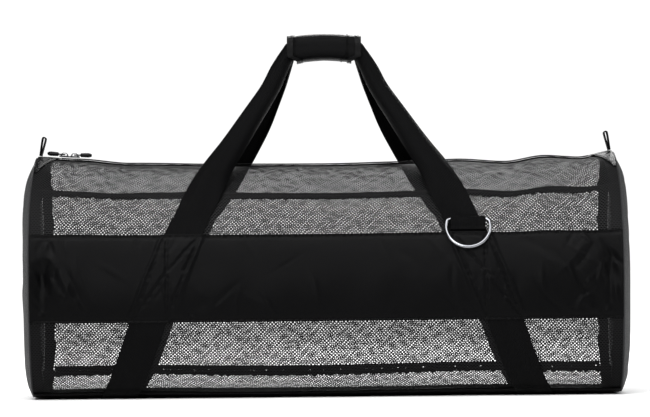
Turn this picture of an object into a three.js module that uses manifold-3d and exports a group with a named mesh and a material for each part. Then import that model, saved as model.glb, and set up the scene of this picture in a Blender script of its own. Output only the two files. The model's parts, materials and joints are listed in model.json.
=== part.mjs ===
// Net gear bag: a long barrel of net cloth with a flat floor, a solid band along each side,
// a zip on top, two webbing handles held by a padded wrap, and a ring on one handle leg.
// Millimetres, +Z up, length along X, front toward -Y, floor at Z 0 under the middle.
import * as THREE from "three";
import Module from "manifold-3d";
import { mergeVertices } from "three/addons/utils/BufferGeometryUtils.js";

const { degToRad, lerp, smoothstep } = THREE.MathUtils;

// Clearances between pieces
const GAP = 0.3;
const SEAM_GAP = 0.5; // between two layers of cloth that lie on each other

// Barrel
const LENGTH = 860; // over both bulged end panels
const TOP_RADIUS = 170;
const SIDE_HEIGHT = 165; // of the widest line above the floor
const SIDE_RADIUS = 230; // below the widest line
const CORNER_ANGLE = degToRad(120); // of the wall's normal from upright, where the floor's curve begins
const END_BULGE = 14;
const END_RAKE = 4; // the end seams lean in by this much at the top

// Cloth and webbing
const NET = 1.2;
const CLOTH = 1.6;
const WEBBING = 1.8;
const STRAP_WIDTH = 49;

// Seams, band and base
const OVERLAP = 8;
const UPPER_SEAM_HEIGHT = 292;
const BAND_TOP = 231;
const BAND_BOTTOM = 109;
const LOWER_SEAM_HEIGHT = 36;
const BASE_EDGE_HEIGHT = 10;
const SEAM_TAPE = 9;
const END_BINDING = 15;

// Zip
const ZIP_TAPE = 30;
const ZIP_CHAIN = 6;
const CHAIN_HEIGHT = 2.4;
const CHAIN_EDGE = 0.6; // share of the chain's height left at its edges
const SLIDERS_FROM_END = 46.1; // from the left end seam to where the two sliders meet
const SLIDER_LENGTH = 14;
const SLIDER_WIDTH = 11;
const PULL_LENGTH = 24;
const PULL_WIDTH = 9;
const PULL_PLAY = 0.4; // between the pull's eye and the bridge, past the usual gap
const PATCH_LENGTH = 34;
const PATCH_DROP = 84; // round the barrel, down each side
const PATCH_TIP = 0.12; // share of the patch's length left at its lowest point

// Handles and grip
const STRAP_LEAVES = 256; // height where the handle leaves the barrel
const GRIP_HEIGHT = 500; // of the straps inside the wrap
const WRAP_LENGTH = 106;
const WRAP_HEIGHT = 38;
const WRAP_DEPTH = 48;
const WRAP_DROP = 2; // of the wrap's middle below the straps in it
const WRAP_MOUTH = 14; // the underside is this much shorter at each end, where the straps come out
const WRAP_WALL = 3;
const WRAP_ARCH = 4;

// Ring and end loops
const RING_RADIUS = 30.7;
const RING_WIRE = 4.5;
const RING_BAR = 12; // of the straight bar above the arc's centre
const TAB_HEIGHT = 20;
const TAB_ABOVE_BAND = 1.3;
const LOOP_HEIGHT = 28;
const LOOP_WIDTH = 25;
const LOOP_OPEN = 6;
const LOOP_LEAN = degToRad(12);

// Divisions
const LEVEL_STEP = 36; // round the barrel
const COLUMNS = 12; // along the barrel, between the end patches

const HALF_SEAM = LENGTH / 2 - END_BULGE - CLOTH - GAP;
const FLOOR_LIFT = 2 * SEAM_GAP + CLOTH + WEBBING; // the floor and the straps lie under the net
const CORNER_RADIUS =
  (SIDE_HEIGHT - FLOOR_LIFT + SIDE_RADIUS * Math.cos(CORNER_ANGLE)) /
  (1 + Math.cos(CORNER_ANGLE));
const FLAT_HALF =
  TOP_RADIUS - SIDE_RADIUS * (1 - Math.sin(CORNER_ANGLE)) - CORNER_RADIUS * Math.sin(CORNER_ANGLE);
const SIDE_START = (TOP_RADIUS * Math.PI) / 2;
const CORNER_START = SIDE_START + SIDE_RADIUS * (CORNER_ANGLE - Math.PI / 2);
const FLAT_START = CORNER_START + CORNER_RADIUS * (Math.PI - CORNER_ANGLE);
const HALF_GIRTH = FLAT_START + FLAT_HALF;

// Wall profile: the point and the outward normal at a distance round from the top centre line
function profile(round) {
  if (round < SIDE_START) return arcPoint(0, SIDE_HEIGHT, TOP_RADIUS, round / TOP_RADIUS);
  if (round < CORNER_START) {
    const angle = Math.PI / 2 + (round - SIDE_START) / SIDE_RADIUS;
    return arcPoint(TOP_RADIUS - SIDE_RADIUS, SIDE_HEIGHT, SIDE_RADIUS, angle);
  }
  if (round < FLAT_START) {
    const angle = CORNER_ANGLE + (round - CORNER_START) / CORNER_RADIUS;
    return arcPoint(FLAT_HALF, FLOOR_LIFT + CORNER_RADIUS, CORNER_RADIUS, angle);
  }
  return { out: HALF_GIRTH - round, up: FLOOR_LIFT, normalOut: 0, normalUp: -1 };
}

function arcPoint(centreOut, centreUp, radius, angle) {
  const normalOut = Math.sin(angle);
  const normalUp = Math.cos(angle);
  return { out: centreOut + radius * normalOut, up: centreUp + radius * normalUp, normalOut, normalUp };
}

// Distance round the profile at a height above the floor
function roundAt(height) {
  if (height >= SIDE_HEIGHT) return TOP_RADIUS * Math.acos((height - SIDE_HEIGHT) / TOP_RADIUS);
  const angle = Math.acos((height - SIDE_HEIGHT) / SIDE_RADIUS);
  if (angle <= CORNER_ANGLE) return SIDE_START + SIDE_RADIUS * (angle - Math.PI / 2);
  const corner = Math.acos((height - FLOOR_LIFT - CORNER_RADIUS) / CORNER_RADIUS);
  return CORNER_START + CORNER_RADIUS * (corner - CORNER_ANGLE);
}

// Top line: how far the ridge stands over or under the plain barrel
// along: share of half the length, lift: share of the top radius
const TOP_LINE = [
  { along: -1.0, lift: 0.041 },
  { along: -0.86, lift: 0.02 },
  { along: -0.67, lift: -0.02 },
  { along: -0.35, lift: -0.036 },
  { along: 0.0, lift: -0.04 },
  { along: 0.3, lift: -0.028 },
  { along: 0.46, lift: -0.012 },
  { along: 0.62, lift: -0.034 },
  { along: 0.76, lift: 0.012 },
  { along: 0.88, lift: -0.004 },
  { along: 1.0, lift: 0.046 },
];

// Broad dents and swellings of the walls, the same on both sides
// along: share of half the length, round: share of half the girth, in: share of the top radius
const DENTS = [
  { along: -0.8, reach: 0.16, round: 0.2, spread: 0.1, in: 0.02 },
  { along: -0.42, reach: 0.12, round: 0.15, spread: 0.08, in: -0.012 },
  { along: 0.08, reach: 0.3, round: 0.17, spread: 0.1, in: 0.016 },
  { along: 0.66, reach: 0.1, round: 0.18, spread: 0.1, in: 0.02 },
  { along: -0.955, reach: 0.06, round: 0.5, spread: 0.16, in: 0.022 },
  { along: 0.955, reach: 0.06, round: 0.5, spread: 0.16, in: 0.022 },
  { along: -0.1, reach: 0.3, round: 0.72, spread: 0.1, in: -0.02 },
  { along: 0.5, reach: 0.2, round: 0.76, spread: 0.08, in: 0.016 },
  { along: -0.62, reach: 0.18, round: 0.76, spread: 0.08, in: 0.014 },
];

function topLift(along) {
  const last = TOP_LINE.length - 1;
  const next = Math.max(1, TOP_LINE.findIndex((row, i) => row.along >= along || i === last));
  const [a, b] = [TOP_LINE[next - 1], TOP_LINE[next]];
  return TOP_RADIUS * lerp(a.lift, b.lift, smoothstep(along, a.along, b.along));
}

function dentAt(along, round) {
  const share = round / HALF_GIRTH;
  const bell = (row) => Math.exp(-(((along - row.along) / row.reach) ** 2) - ((share - row.round) / row.spread) ** 2);
  return DENTS.reduce((sum, row) => sum + TOP_RADIUS * row.in * bell(row), 0);
}

// A point on or near the wall: side is -1 front or 1 back, x along the barrel, round from the
// top centre line, and offset outward from the net's outer face
function wallPoint(side, x, round, offset) {
  const at = profile(round);
  const along = x / HALF_SEAM;
  const high = Math.max(0, (at.up - SIDE_HEIGHT) / TOP_RADIUS);
  const push = offset - dentAt(along, round);
  const rake = END_RAKE * high ** 5 * Math.pow(Math.abs(along), 6) * Math.sign(x);
  return new THREE.Vector3(
    x - rake,
    side * (at.out + at.normalOut * push),
    at.up + at.normalUp * (at.up > FLOOR_LIFT ? push : offset) + topLift(along) * Math.pow(high, 1.5),
  );
}

// Distances round from the top where pieces begin, end or change layer
const ZIP_EDGE = ZIP_TAPE / 2;
const UPPER_SEAM = roundAt(UPPER_SEAM_HEIGHT);
const BAND_START = roundAt(BAND_TOP);
const BAND_END = roundAt(BAND_BOTTOM);
const LOWER_SEAM = roundAt(LOWER_SEAM_HEIGHT);
const BASE_EDGE = roundAt(BASE_EDGE_HEIGHT);
const LEAVE = roundAt(STRAP_LEAVES);
const STRAP_JOIN = (BAND_START + BAND_END) / 2;
const LAYER = SEAM_GAP + WEBBING; // a strap between two layers lifts the upper one by this
const BAND_SHOULDER = 2; // the band stays up this far past a strap's edge
const BAND_SLOPE = 7; // and is down again this far past it
const BAND_PLAIN = { inward: [0.16, 0.32], outward: [0.76, 0.9, 1] }; // columns, shares of half the length

// Shared levels round the barrel, so that pieces on each other have the same facets
const LEVELS = (() => {
  const keys = [
    0,
    ZIP_CHAIN / 2,
    ZIP_EDGE - OVERLAP,
    ZIP_EDGE,
    ZIP_EDGE + OVERLAP,
    PATCH_DROP,
    UPPER_SEAM - SEAM_TAPE / 2,
    UPPER_SEAM,
    UPPER_SEAM + SEAM_TAPE / 2,
    LEAVE,
    BAND_START,
    BAND_START + OVERLAP,
    STRAP_JOIN,
    BAND_END - OVERLAP,
    BAND_END,
    LOWER_SEAM - SEAM_TAPE / 2,
    LOWER_SEAM + SEAM_TAPE / 2,
    BASE_EDGE - 2 * OVERLAP,
    BASE_EDGE - OVERLAP / 2,
    BASE_EDGE,
    BASE_EDGE + OVERLAP,
    FLAT_START,
    HALF_GIRTH,
  ].sort((a, b) => a - b);
  const levels = [keys[0]];
  keys.slice(1).forEach((key) => {
    const from = levels[levels.length - 1];
    const steps = Math.ceil((key - from) / LEVEL_STEP);
    for (let i = 1; i <= steps; i++) levels.push(lerp(from, key, i / steps));
  });
  return levels;
})();
const levelsBetween = (from, to) => LEVELS.filter((s) => s >= from - 1e-6 && s <= to + 1e-6);
const columnsBetween = (from, to, count) =>
  Array.from({ length: count + 1 }, (_, i) => lerp(from, to, i / count));
const COLUMN_PLACES = [
  -HALF_SEAM,
  -HALF_SEAM + END_BINDING,
  ...columnsBetween(-HALF_SEAM + PATCH_LENGTH, HALF_SEAM - PATCH_LENGTH, COLUMNS),
  HALF_SEAM - END_BINDING,
  HALF_SEAM,
];

const MATERIALS = {
  net: { color: 0x3a3c3e, roughness: 0.75, metalness: 0 },
  nylon: { color: 0x17191c, roughness: 0.6, metalness: 0 },
  endFabric: { color: 0x303236, roughness: 0.7, metalness: 0 },
  webbing: { color: 0x101113, roughness: 0.8, metalness: 0 },
  tape: { color: 0x0b0c0d, roughness: 0.8, metalness: 0 },
  plastic: { color: 0x141414, roughness: 0.45, metalness: 0 },
  chrome: { color: 0xd0d3d6, roughness: 0.2, metalness: 1 },
};

const bag = new THREE.Group();

function addPiece(name, geometry, finish, parent = bag) {
  geometry.computeVertexNormals();
  const mesh = new THREE.Mesh(geometry, new THREE.MeshStandardMaterial(MATERIALS[finish]));
  mesh.name = name;
  parent.add(mesh);
  return mesh;
}

// A closed slab between an outer and an inner grid of points of the same size. A ring slab's
// last row meets its first. The faces are turned out at the end if they point in.
function slab(outer, inner, ring = false) {
  const rows = outer.length;
  const width = outer[0].length;
  const points = [...outer.flat(), ...inner.flat()];
  const index = [];
  const outerAt = (i, j) => (i % rows) * width + j;
  const innerAt = (i, j) => rows * width + outerAt(i, j);
  const quad = (a, b, c, d) => index.push(a, b, c, a, c, d);
  const spans = ring ? rows : rows - 1;
  for (let i = 0; i < spans; i++) {
    for (let j = 0; j < width - 1; j++) {
      quad(outerAt(i, j), outerAt(i + 1, j), outerAt(i + 1, j + 1), outerAt(i, j + 1));
      quad(innerAt(i, j), innerAt(i, j + 1), innerAt(i + 1, j + 1), innerAt(i + 1, j));
    }
    quad(outerAt(i, 0), innerAt(i, 0), innerAt(i + 1, 0), outerAt(i + 1, 0));
    quad(outerAt(i, width - 1), outerAt(i + 1, width - 1), innerAt(i + 1, width - 1), innerAt(i, width - 1));
  }
  if (!ring) {
    const last = rows - 1;
    for (let j = 0; j < width - 1; j++) {
      quad(outerAt(0, j), outerAt(0, j + 1), innerAt(0, j + 1), innerAt(0, j));
      quad(outerAt(last, j), innerAt(last, j), innerAt(last, j + 1), outerAt(last, j + 1));
    }
  }
  return turnedOut(points, index);
}

function turnedOut(points, index) {
  let volume = 0;
  for (let i = 0; i < index.length; i += 3) {
    const [a, b, c] = [points[index[i]], points[index[i + 1]], points[index[i + 2]]];
    volume += a.dot(new THREE.Vector3().crossVectors(b, c));
  }
  if (volume < 0) {
    for (let i = 0; i < index.length; i += 3) [index[i], index[i + 1]] = [index[i + 1], index[i]];
  }
  const geometry = new THREE.BufferGeometry().setFromPoints(points);
  geometry.setIndex(index);
  return geometry;
}

// A strip of cloth that follows the wall, with its inner face at an offset from the net
function clothStrip(side, xs, rounds, offset, thickness) {
  const grid = (lift) => rounds.map((s) => xs.map((x) => wallPoint(side, x, s, lift)));
  return slab(grid(offset + thickness), grid(offset));
}

// A strip that runs over the top or under the floor, from the front to the back
function crossing(rounds) {
  const mirrored = rounds.filter((s) => s > 1e-6 && s < HALF_GIRTH - 1e-6);
  const overTop = rounds[0] < 1e-6;
  const front = overTop ? [...mirrored].reverse() : mirrored;
  const back = [...front].reverse();
  const middle = overTop ? 0 : HALF_GIRTH;
  return [
    ...front.map((s) => ({ side: -1, s })),
    { side: -1, s: middle },
    ...back.map((s) => ({ side: 1, s })),
  ];
}

function crossStrip(places, rowXs, offsetAt, thicknessAt) {
  const grid = (lift) =>
    places.map(({ side, s }) => rowXs(s).map((x) => wallPoint(side, x, s, offsetAt(s) + lift(s))));
  return slab(grid(thicknessAt), grid(() => 0));
}

// Net walls and their inner seam tapes
const SIDES = [
  { label: "front", side: -1 },
  { label: "back", side: 1 },
];
const NET_STRIPS = [
  { label: "top", from: ZIP_EDGE - OVERLAP, to: UPPER_SEAM, startGap: 0, endGap: GAP / 2 },
  { label: "upper", from: UPPER_SEAM, to: BAND_START + OVERLAP, startGap: GAP / 2, endGap: 0 },
  { label: "lower", from: BAND_END - OVERLAP, to: BASE_EDGE + OVERLAP, startGap: 0, endGap: 0 },
];
const INNER_TAPES = [
  { label: "upper", from: UPPER_SEAM - SEAM_TAPE / 2, to: UPPER_SEAM + SEAM_TAPE / 2 },
  { label: "lower", from: LOWER_SEAM - SEAM_TAPE / 2, to: LOWER_SEAM + SEAM_TAPE / 2 },
];
const TAPE_REACH = HALF_SEAM - END_BINDING - GAP;
SIDES.forEach(({ label, side }) => {
  NET_STRIPS.forEach((strip) => {
    const rounds = levelsBetween(strip.from, strip.to);
    rounds[0] += strip.startGap;
    rounds[rounds.length - 1] -= strip.endGap;
    addPiece(`mesh_${strip.label}_${label}`, clothStrip(side, COLUMN_PLACES, rounds, -NET, NET), "net");
  });
  INNER_TAPES.forEach((tape) => {
    const xs = [-TAPE_REACH, ...COLUMN_PLACES.slice(2, -2), TAPE_REACH];
    const rounds = levelsBetween(tape.from, tape.to);
    const geometry = clothStrip(side, xs, rounds, -NET - GAP - NET, NET);
    addPiece(`seam_tape_${tape.label}_${label}`, geometry, "tape");
  });
});

// Straps on the barrel: the centre line's place along the barrel, at heights on the wall
// along: share of half the length
const STRAP_LINE = [
  { round: LEAVE, along: 0.453 },
  { round: BAND_START, along: 0.481 },
  { round: BAND_END, along: 0.602 },
  { round: BASE_EDGE, along: 0.703 },
  { round: HALF_GIRTH, along: 0.745 },
];
function strapCentre(round) {
  const last = STRAP_LINE.length - 1;
  const next = Math.max(1, STRAP_LINE.findIndex((row, i) => row.round >= round || i === last));
  const [a, b] = [STRAP_LINE[next - 1], STRAP_LINE[next]];
  const share = THREE.MathUtils.clamp((round - a.round) / (b.round - a.round), 0, 1);
  return HALF_SEAM * lerp(a.along, b.along, share);
}
function strapHalf(round) {
  const lean = (strapCentre(round + 1) - strapCentre(round - 1)) / 2;
  return (STRAP_WIDTH / 2) * Math.hypot(1, Math.min(lean, 0.5));
}

// Solid band: it lies on the net's edges and rises over the straps under it
function bandPiece(side) {
  const rounds = levelsBetween(BAND_START, BAND_END);
  const columnsAt = (s) => {
    const centre = strapCentre(s);
    const half = strapHalf(s);
    const strap = [
      { x: centre - half - BAND_SLOPE, over: 0 },
      { x: centre - half - BAND_SHOULDER, over: 1 },
      { x: centre, over: 1 },
      { x: centre + half + BAND_SHOULDER, over: 1 },
      { x: centre + half + BAND_SLOPE, over: 0 },
    ];
    const plain = (shares) => shares.map((share) => ({ x: share * HALF_SEAM, over: 0 }));
    const right = [...plain(BAND_PLAIN.inward), ...strap, ...plain(BAND_PLAIN.outward)];
    const left = [...right].reverse().map(({ x, over }) => ({ x: -x, over }));
    return [...left, { x: 0, over: 0 }, ...right];
  };
  const grid = (lift) =>
    rounds.map((s) => columnsAt(s).map(({ x, over }) => wallPoint(side, x, s, SEAM_GAP + over * LAYER + lift)));
  return slab(grid(CLOTH), grid(0));
}
SIDES.forEach(({ label, side }) => addPiece(`panel_${label}`, bandPiece(side), "nylon"));

// Floor, lapping over the lower edges of the net
const floorPlaces = crossing(levelsBetween(BASE_EDGE, HALF_GIRTH));
addPiece("base_panel", crossStrip(floorPlaces, () => COLUMN_PLACES, () => SEAM_GAP, () => CLOTH), "nylon");

// Straps round under the floor, from behind one band to behind the other
const underPlaces = crossing(levelsBetween(STRAP_JOIN, HALF_GIRTH)).map(({ side, s }) => ({
  side,
  s: Math.abs(s - STRAP_JOIN) < 1e-6 ? s + GAP / 2 : s,
}));
const underOffset = (s) => (s > BASE_EDGE - OVERLAP ? SEAM_GAP + CLOTH + SEAM_GAP : SEAM_GAP);
[
  { label: "left", end: -1 },
  { label: "right", end: 1 },
].forEach(({ label, end }) => {
  const rowXs = (s) => [-1, 0, 1].map((share) => end * strapCentre(s) + share * strapHalf(s));
  addPiece(`strap_under_${label}`, crossStrip(underPlaces, rowXs, underOffset, () => WEBBING), "webbing");
});

// Zip tape and chain along the top
const tapePlaces = crossing(levelsBetween(0, ZIP_EDGE));
const ZIP_END = HALF_SEAM - GAP;
const zipXs = [-ZIP_END, ...COLUMN_PLACES.slice(1, -1), ZIP_END];
addPiece("zip_tape", crossStrip(tapePlaces, () => zipXs, () => SEAM_GAP, () => NET), "tape");

const PATCH_OFFSET = SEAM_GAP + NET + SEAM_GAP;
const CHAIN_END = HALF_SEAM - PATCH_LENGTH - GAP;
const CHAIN_OFFSET = SEAM_GAP + NET + GAP;
const chainXs = [-CHAIN_END, ...COLUMN_PLACES.filter((x) => Math.abs(x) < CHAIN_END), CHAIN_END];
const chainPlaces = crossing(levelsBetween(0, ZIP_CHAIN / 2));
const chainHeight = (s) => (s > 0 ? CHAIN_HEIGHT * CHAIN_EDGE : CHAIN_HEIGHT);
addPiece("zip_chain", crossStrip(chainPlaces, () => chainXs, () => CHAIN_OFFSET, chainHeight), "tape");

// Wedge of cloth over each end of the zip: length along the barrel at each distance round
const patchPlaces = crossing(levelsBetween(0, PATCH_DROP));
const patchLength = (s) => lerp(PATCH_LENGTH, PATCH_LENGTH * PATCH_TIP, s / PATCH_DROP);
const patchOffset = (s) => (s > ZIP_EDGE + GAP ? SEAM_GAP : PATCH_OFFSET);
[
  { label: "left", end: -1 },
  { label: "right", end: 1 },
].forEach(({ label, end }) => {
  const rowXs = (s) => [1, 0.5, 0].map((share) => end * (HALF_SEAM - share * patchLength(s)));
  addPiece(`end_patch_${label}`, crossStrip(patchPlaces, rowXs, patchOffset, () => NET), "nylon");
});

// End panels: rows across the profile, bulged outward, with soft upright creases
// across: share of the half width, spread: share of it too, out: share of the bulge
const END_CREASES = [
  { across: -0.5, spread: 0.14, out: -0.22 },
  { across: 0.12, spread: 0.12, out: -0.3 },
  { across: 0.62, spread: 0.12, out: -0.18 },
];
const END_ACROSS = columnsBetween(-1, 1, 8);
const endRows = columnsBetween(ZIP_EDGE, FLAT_START, 13);
function endPiece(end) {
  const rim = SEAM_GAP + CLOTH;
  const grid = (lift) =>
    endRows.map((s) =>
      END_ACROSS.map((across) => {
        const edge = wallPoint(1, end * HALF_SEAM, s, rim);
        const up = THREE.MathUtils.clamp((2 * edge.z) / (SIDE_HEIGHT + TOP_RADIUS) - 1, -1, 1);
        const crease = END_CREASES.reduce(
          (sum, row) => sum + row.out * Math.exp(-(((across - row.across) / row.spread) ** 2)),
          0,
        );
        const bulge = END_BULGE * (1 - up ** 8) * (1 - across ** 4) * (1 + crease);
        const x = edge.x + end * (GAP + bulge + lift);
        return new THREE.Vector3(x, across * edge.y, edge.z);
      }),
    );
  return slab(grid(CLOTH), grid(0));
}
addPiece("end_panel_left", endPiece(-1), "endFabric");
addPiece("end_panel_right", endPiece(1), "endFabric");

// Inner binding round each end seam: a closed band just inside the walls
const bindingPlaces = (() => {
  const rounds = levelsBetween(0, HALF_GIRTH);
  const front = rounds.map((s) => ({ side: -1, s }));
  const back = [...rounds].reverse().slice(1, -1).map((s) => ({ side: 1, s }));
  return [...front, ...back];
})();
function bindingPiece(end) {
  const xs = [end * (HALF_SEAM - END_BINDING), end * HALF_SEAM];
  const depth = NET + SEAM_GAP;
  const grid = (lift) =>
    bindingPlaces.map(({ side, s }) => xs.map((x) => wallPoint(side, x, s, lift - depth)));
  return slab(grid(0), grid(-NET), true);
}
addPiece("end_binding_left", bindingPiece(-1), "tape");
addPiece("end_binding_right", bindingPiece(1), "tape");

// Handles. Free legs from the barrel to the bend at the wrap's end: rise is the share of the
// climb, out is the share of the way back out to where the strap leaves, cup is the strap's
// lengthwise fold in degrees
const LEG = {
  front: [
    { rise: 0.146, out: 0.883, cup: 32 },
    { rise: 0.297, out: 0.762, cup: 110 },
    { rise: 0.455, out: 0.586, cup: 155 },
    { rise: 0.615, out: 0.406, cup: 190 },
    { rise: 0.774, out: 0.213, cup: 220 },
    { rise: 0.895, out: 0.103, cup: 235 },
  ],
  back: [
    { rise: 0.146, out: 0.82, cup: 26 },
    { rise: 0.306, out: 0.635, cup: 110 },
    { rise: 0.463, out: 0.46, cup: 155 },
    { rise: 0.615, out: 0.3, cup: 190 },
    { rise: 0.783, out: 0.155, cup: 220 },
    { rise: 0.895, out: 0.075, cup: 235 },
  ],
};
const GRIP_CUP = 300;
const BEND_RADIUS = 16; // of the turn into the wrap
const BEND_ANGLES = [60, 40, 20, 0].map(degToRad);
const BEND_INSET = 17; // of the turn's end inside the wrap
const LEG_SETTLED = 0.92; // share of the climb where a leg stands over its place in the wrap
const ACROSS = 5;
const ACROSS_SHARES = columnsBetween(-1, 1, ACROSS);
const GRIP_OUT = 1.2; // the folded strap's middle stands this far off the wrap's centre plane
const foldRadius = (cup) => STRAP_WIDTH / degToRad(cup);
const foldDepth = (cup) => foldRadius(cup) * (1 - Math.cos(degToRad(cup) / 2));
const GRIP_Y = foldDepth(GRIP_CUP) + GRIP_OUT;

// Sections of one leg from behind the band to the middle of the grip, for end -1 left or 1 right
function legSections(side, end, table) {
  const onWall = levelsBetween(LEAVE, STRAP_JOIN).reverse();
  onWall[0] -= GAP / 2;
  const sections = onWall.map((s) => {
    const row = (lift) =>
      ACROSS_SHARES.map((share) => wallPoint(side, end * (strapCentre(s) + share * strapHalf(s)), s, lift));
    return { outer: row(SEAM_GAP + WEBBING), inner: row(SEAM_GAP) };
  });
  const middle = (s) => wallPoint(side, end * strapCentre(s), s, SEAM_GAP + WEBBING / 2);
  const leave = middle(LEAVE);
  const wallNormal = new THREE.Vector3(0, side * profile(LEAVE).normalOut, profile(LEAVE).normalUp);
  const gripNormal = new THREE.Vector3(0, side, 0);
  const bendX = WRAP_LENGTH / 2 - BEND_INSET;
  const bend = BEND_ANGLES.map(
    (angle) =>
      new THREE.Vector3(
        end * (bendX + BEND_RADIUS * Math.sin(angle)),
        side * GRIP_Y,
        GRIP_HEIGHT - BEND_RADIUS * (1 - Math.cos(angle)),
      ),
  );
  const place = ({ rise, out }) =>
    new THREE.Vector3(
      lerp(bend[0].x, leave.x, out),
      lerp(leave.y, bend[0].y, Math.min(1, rise / LEG_SETTLED)),
      lerp(leave.z, bend[0].z, rise),
    );
  const stations = [
    ...table.map((row) => ({ at: place(row), cup: row.cup, rise: row.rise })),
    ...bend.map((at) => ({ at, cup: GRIP_CUP, rise: 1 })),
    { at: new THREE.Vector3((end * bendX) / 2, side * GRIP_Y, GRIP_HEIGHT), cup: GRIP_CUP, rise: 1 },
    { at: new THREE.Vector3(0, side * GRIP_Y, GRIP_HEIGHT), cup: GRIP_CUP, rise: 1 },
  ];
  stations.forEach((station, i) => {
    const before = i ? stations[i - 1].at : leave;
    const after = i < stations.length - 1 ? stations[i + 1].at : null;
    const tangent = after ? after.clone().sub(before).normalize() : new THREE.Vector3(-end, 0, 0);
    const normal = wallNormal.clone().lerp(gripNormal, smoothstep(station.rise, 0.5, 1));
    normal.addScaledVector(tangent, -normal.dot(tangent)).normalize();
    const across = new THREE.Vector3().crossVectors(normal, tangent).multiplyScalar(end * side).normalize();
    const radius = foldRadius(station.cup);
    const row = (lift) =>
      ACROSS_SHARES.map((share) => {
        const angle = (share * degToRad(station.cup)) / 2;
        const reach = radius + lift;
        return station.at
          .clone()
          .addScaledVector(across, reach * Math.sin(angle))
          .addScaledVector(normal, reach * Math.cos(angle) - radius);
      });
    sections.push({ outer: row(WEBBING / 2), inner: row(-WEBBING / 2) });
  });
  return sections;
}

function handlePiece(side, table) {
  const left = legSections(side, -1, table);
  const right = legSections(side, 1, table).slice(0, -1).reverse();
  const sections = [...left, ...right];
  return slab(
    sections.map(({ outer }) => outer),
    sections.map(({ inner }) => inner),
  );
}
addPiece("handle_front", handlePiece(-1, LEG.front), "webbing");
addPiece("handle_back", handlePiece(1, LEG.back), "webbing");

// Padded wrap round both handles, open at its ends and slightly arched
const WRAP_SECTIONS = columnsBetween(-1, 1, 8);
const WRAP_SIDES = 18;
function wrapPiece() {
  const boxed = (value) => Math.sign(value) * Math.pow(Math.abs(value), 0.62);
  const ring = (share, inset) => {
    const droop = WRAP_DROP + WRAP_ARCH * share * share;
    return Array.from({ length: WRAP_SIDES }, (_, i) => {
      const angle = ((i + 0.5) / WRAP_SIDES) * 2 * Math.PI;
      const under = smoothstep(-Math.sin(angle), 0.3, 0.7);
      const half = WRAP_LENGTH / 2 - WRAP_MOUTH * under;
      return new THREE.Vector3(
        share * half,
        (WRAP_DEPTH / 2 - inset) * boxed(Math.cos(angle)),
        GRIP_HEIGHT - droop + (WRAP_HEIGHT / 2 - inset) * boxed(Math.sin(angle)),
      );
    });
  };
  const column = (inset) => WRAP_SECTIONS.map((share) => ring(share, inset));
  const turned = (grid) => Array.from({ length: WRAP_SIDES }, (_, i) => grid.map((row) => row[i]));
  return slab(turned(column(0)), turned(column(WRAP_WALL)), true);
}
addPiece("grip_wrap", wrapPiece(), "nylon");

// A frame on the wall for small hardware: X along the barrel, Y up the wall, Z outward
function wallFrame(side, x, round, offset) {
  const origin = wallPoint(side, x, round, offset);
  const up = wallPoint(side, x, round - 5, offset).sub(wallPoint(side, x, round + 5, offset)).normalize();
  const across = new THREE.Vector3(side < 0 ? 1 : -1, 0, 0);
  up.addScaledVector(across, -up.dot(across)).normalize();
  const outward = new THREE.Vector3().crossVectors(across, up);
  const frame = new THREE.Group();
  frame.applyMatrix4(new THREE.Matrix4().makeBasis(across, up, outward).setPosition(origin));
  bag.add(frame);
  frame.updateMatrixWorld(true);
  return frame;
}

// Folded tab on the right front leg: flat below, round the ring's bar above
const BAR_HOLE = RING_WIRE / 2 + GAP;
const TAB_REACH = BAR_HOLE + WEBBING;
const tabFoot = BAND_START - TAB_ABOVE_BAND;
const tabMiddle = tabFoot - TAB_HEIGHT / 2;
const TAB_SAG = (TAB_HEIGHT / 2) ** 2 / (2 * TOP_RADIUS) + GAP; // the flat tab on the round wall
const ringFrame = wallFrame(-1, strapCentre(tabFoot), tabMiddle, SEAM_GAP + WEBBING + TAB_SAG);
const barHeight = TAB_HEIGHT / 2 - TAB_REACH;
const HOLE_SIDES = 16;
function tabOutline() {
  const shape = new THREE.Shape();
  const foot = -TAB_HEIGHT / 2;
  shape.moveTo(foot, 0);
  shape.lineTo(foot, 2 * WEBBING + GAP);
  shape.lineTo(barHeight - TAB_REACH * 1.2, 2 * TAB_REACH * 0.82);
  shape.absarc(barHeight, TAB_REACH, TAB_REACH, Math.PI * 0.6, -Math.PI / 2, true);
  const hole = Array.from({ length: HOLE_SIDES }, (_, i) => {
    const angle = (2 * Math.PI * i) / HOLE_SIDES;
    return new THREE.Vector2(barHeight + BAR_HOLE * Math.cos(angle), TAB_REACH + BAR_HOLE * Math.sin(angle));
  });
  shape.holes.push(new THREE.Path(hole));
  return shape;
}
const tabGeometry = new THREE.ExtrudeGeometry(tabOutline(), {
  depth: STRAP_WIDTH,
  bevelEnabled: false,
  curveSegments: 8,
});
tabGeometry.translate(0, 0, -STRAP_WIDTH / 2);
tabGeometry.applyMatrix4(
  new THREE.Matrix4().makeBasis(
    new THREE.Vector3(0, 1, 0),
    new THREE.Vector3(0, 0, 1),
    new THREE.Vector3(1, 0, 0),
  ),
);
addPiece("ring_tab", tabGeometry, "webbing", ringFrame);

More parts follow.
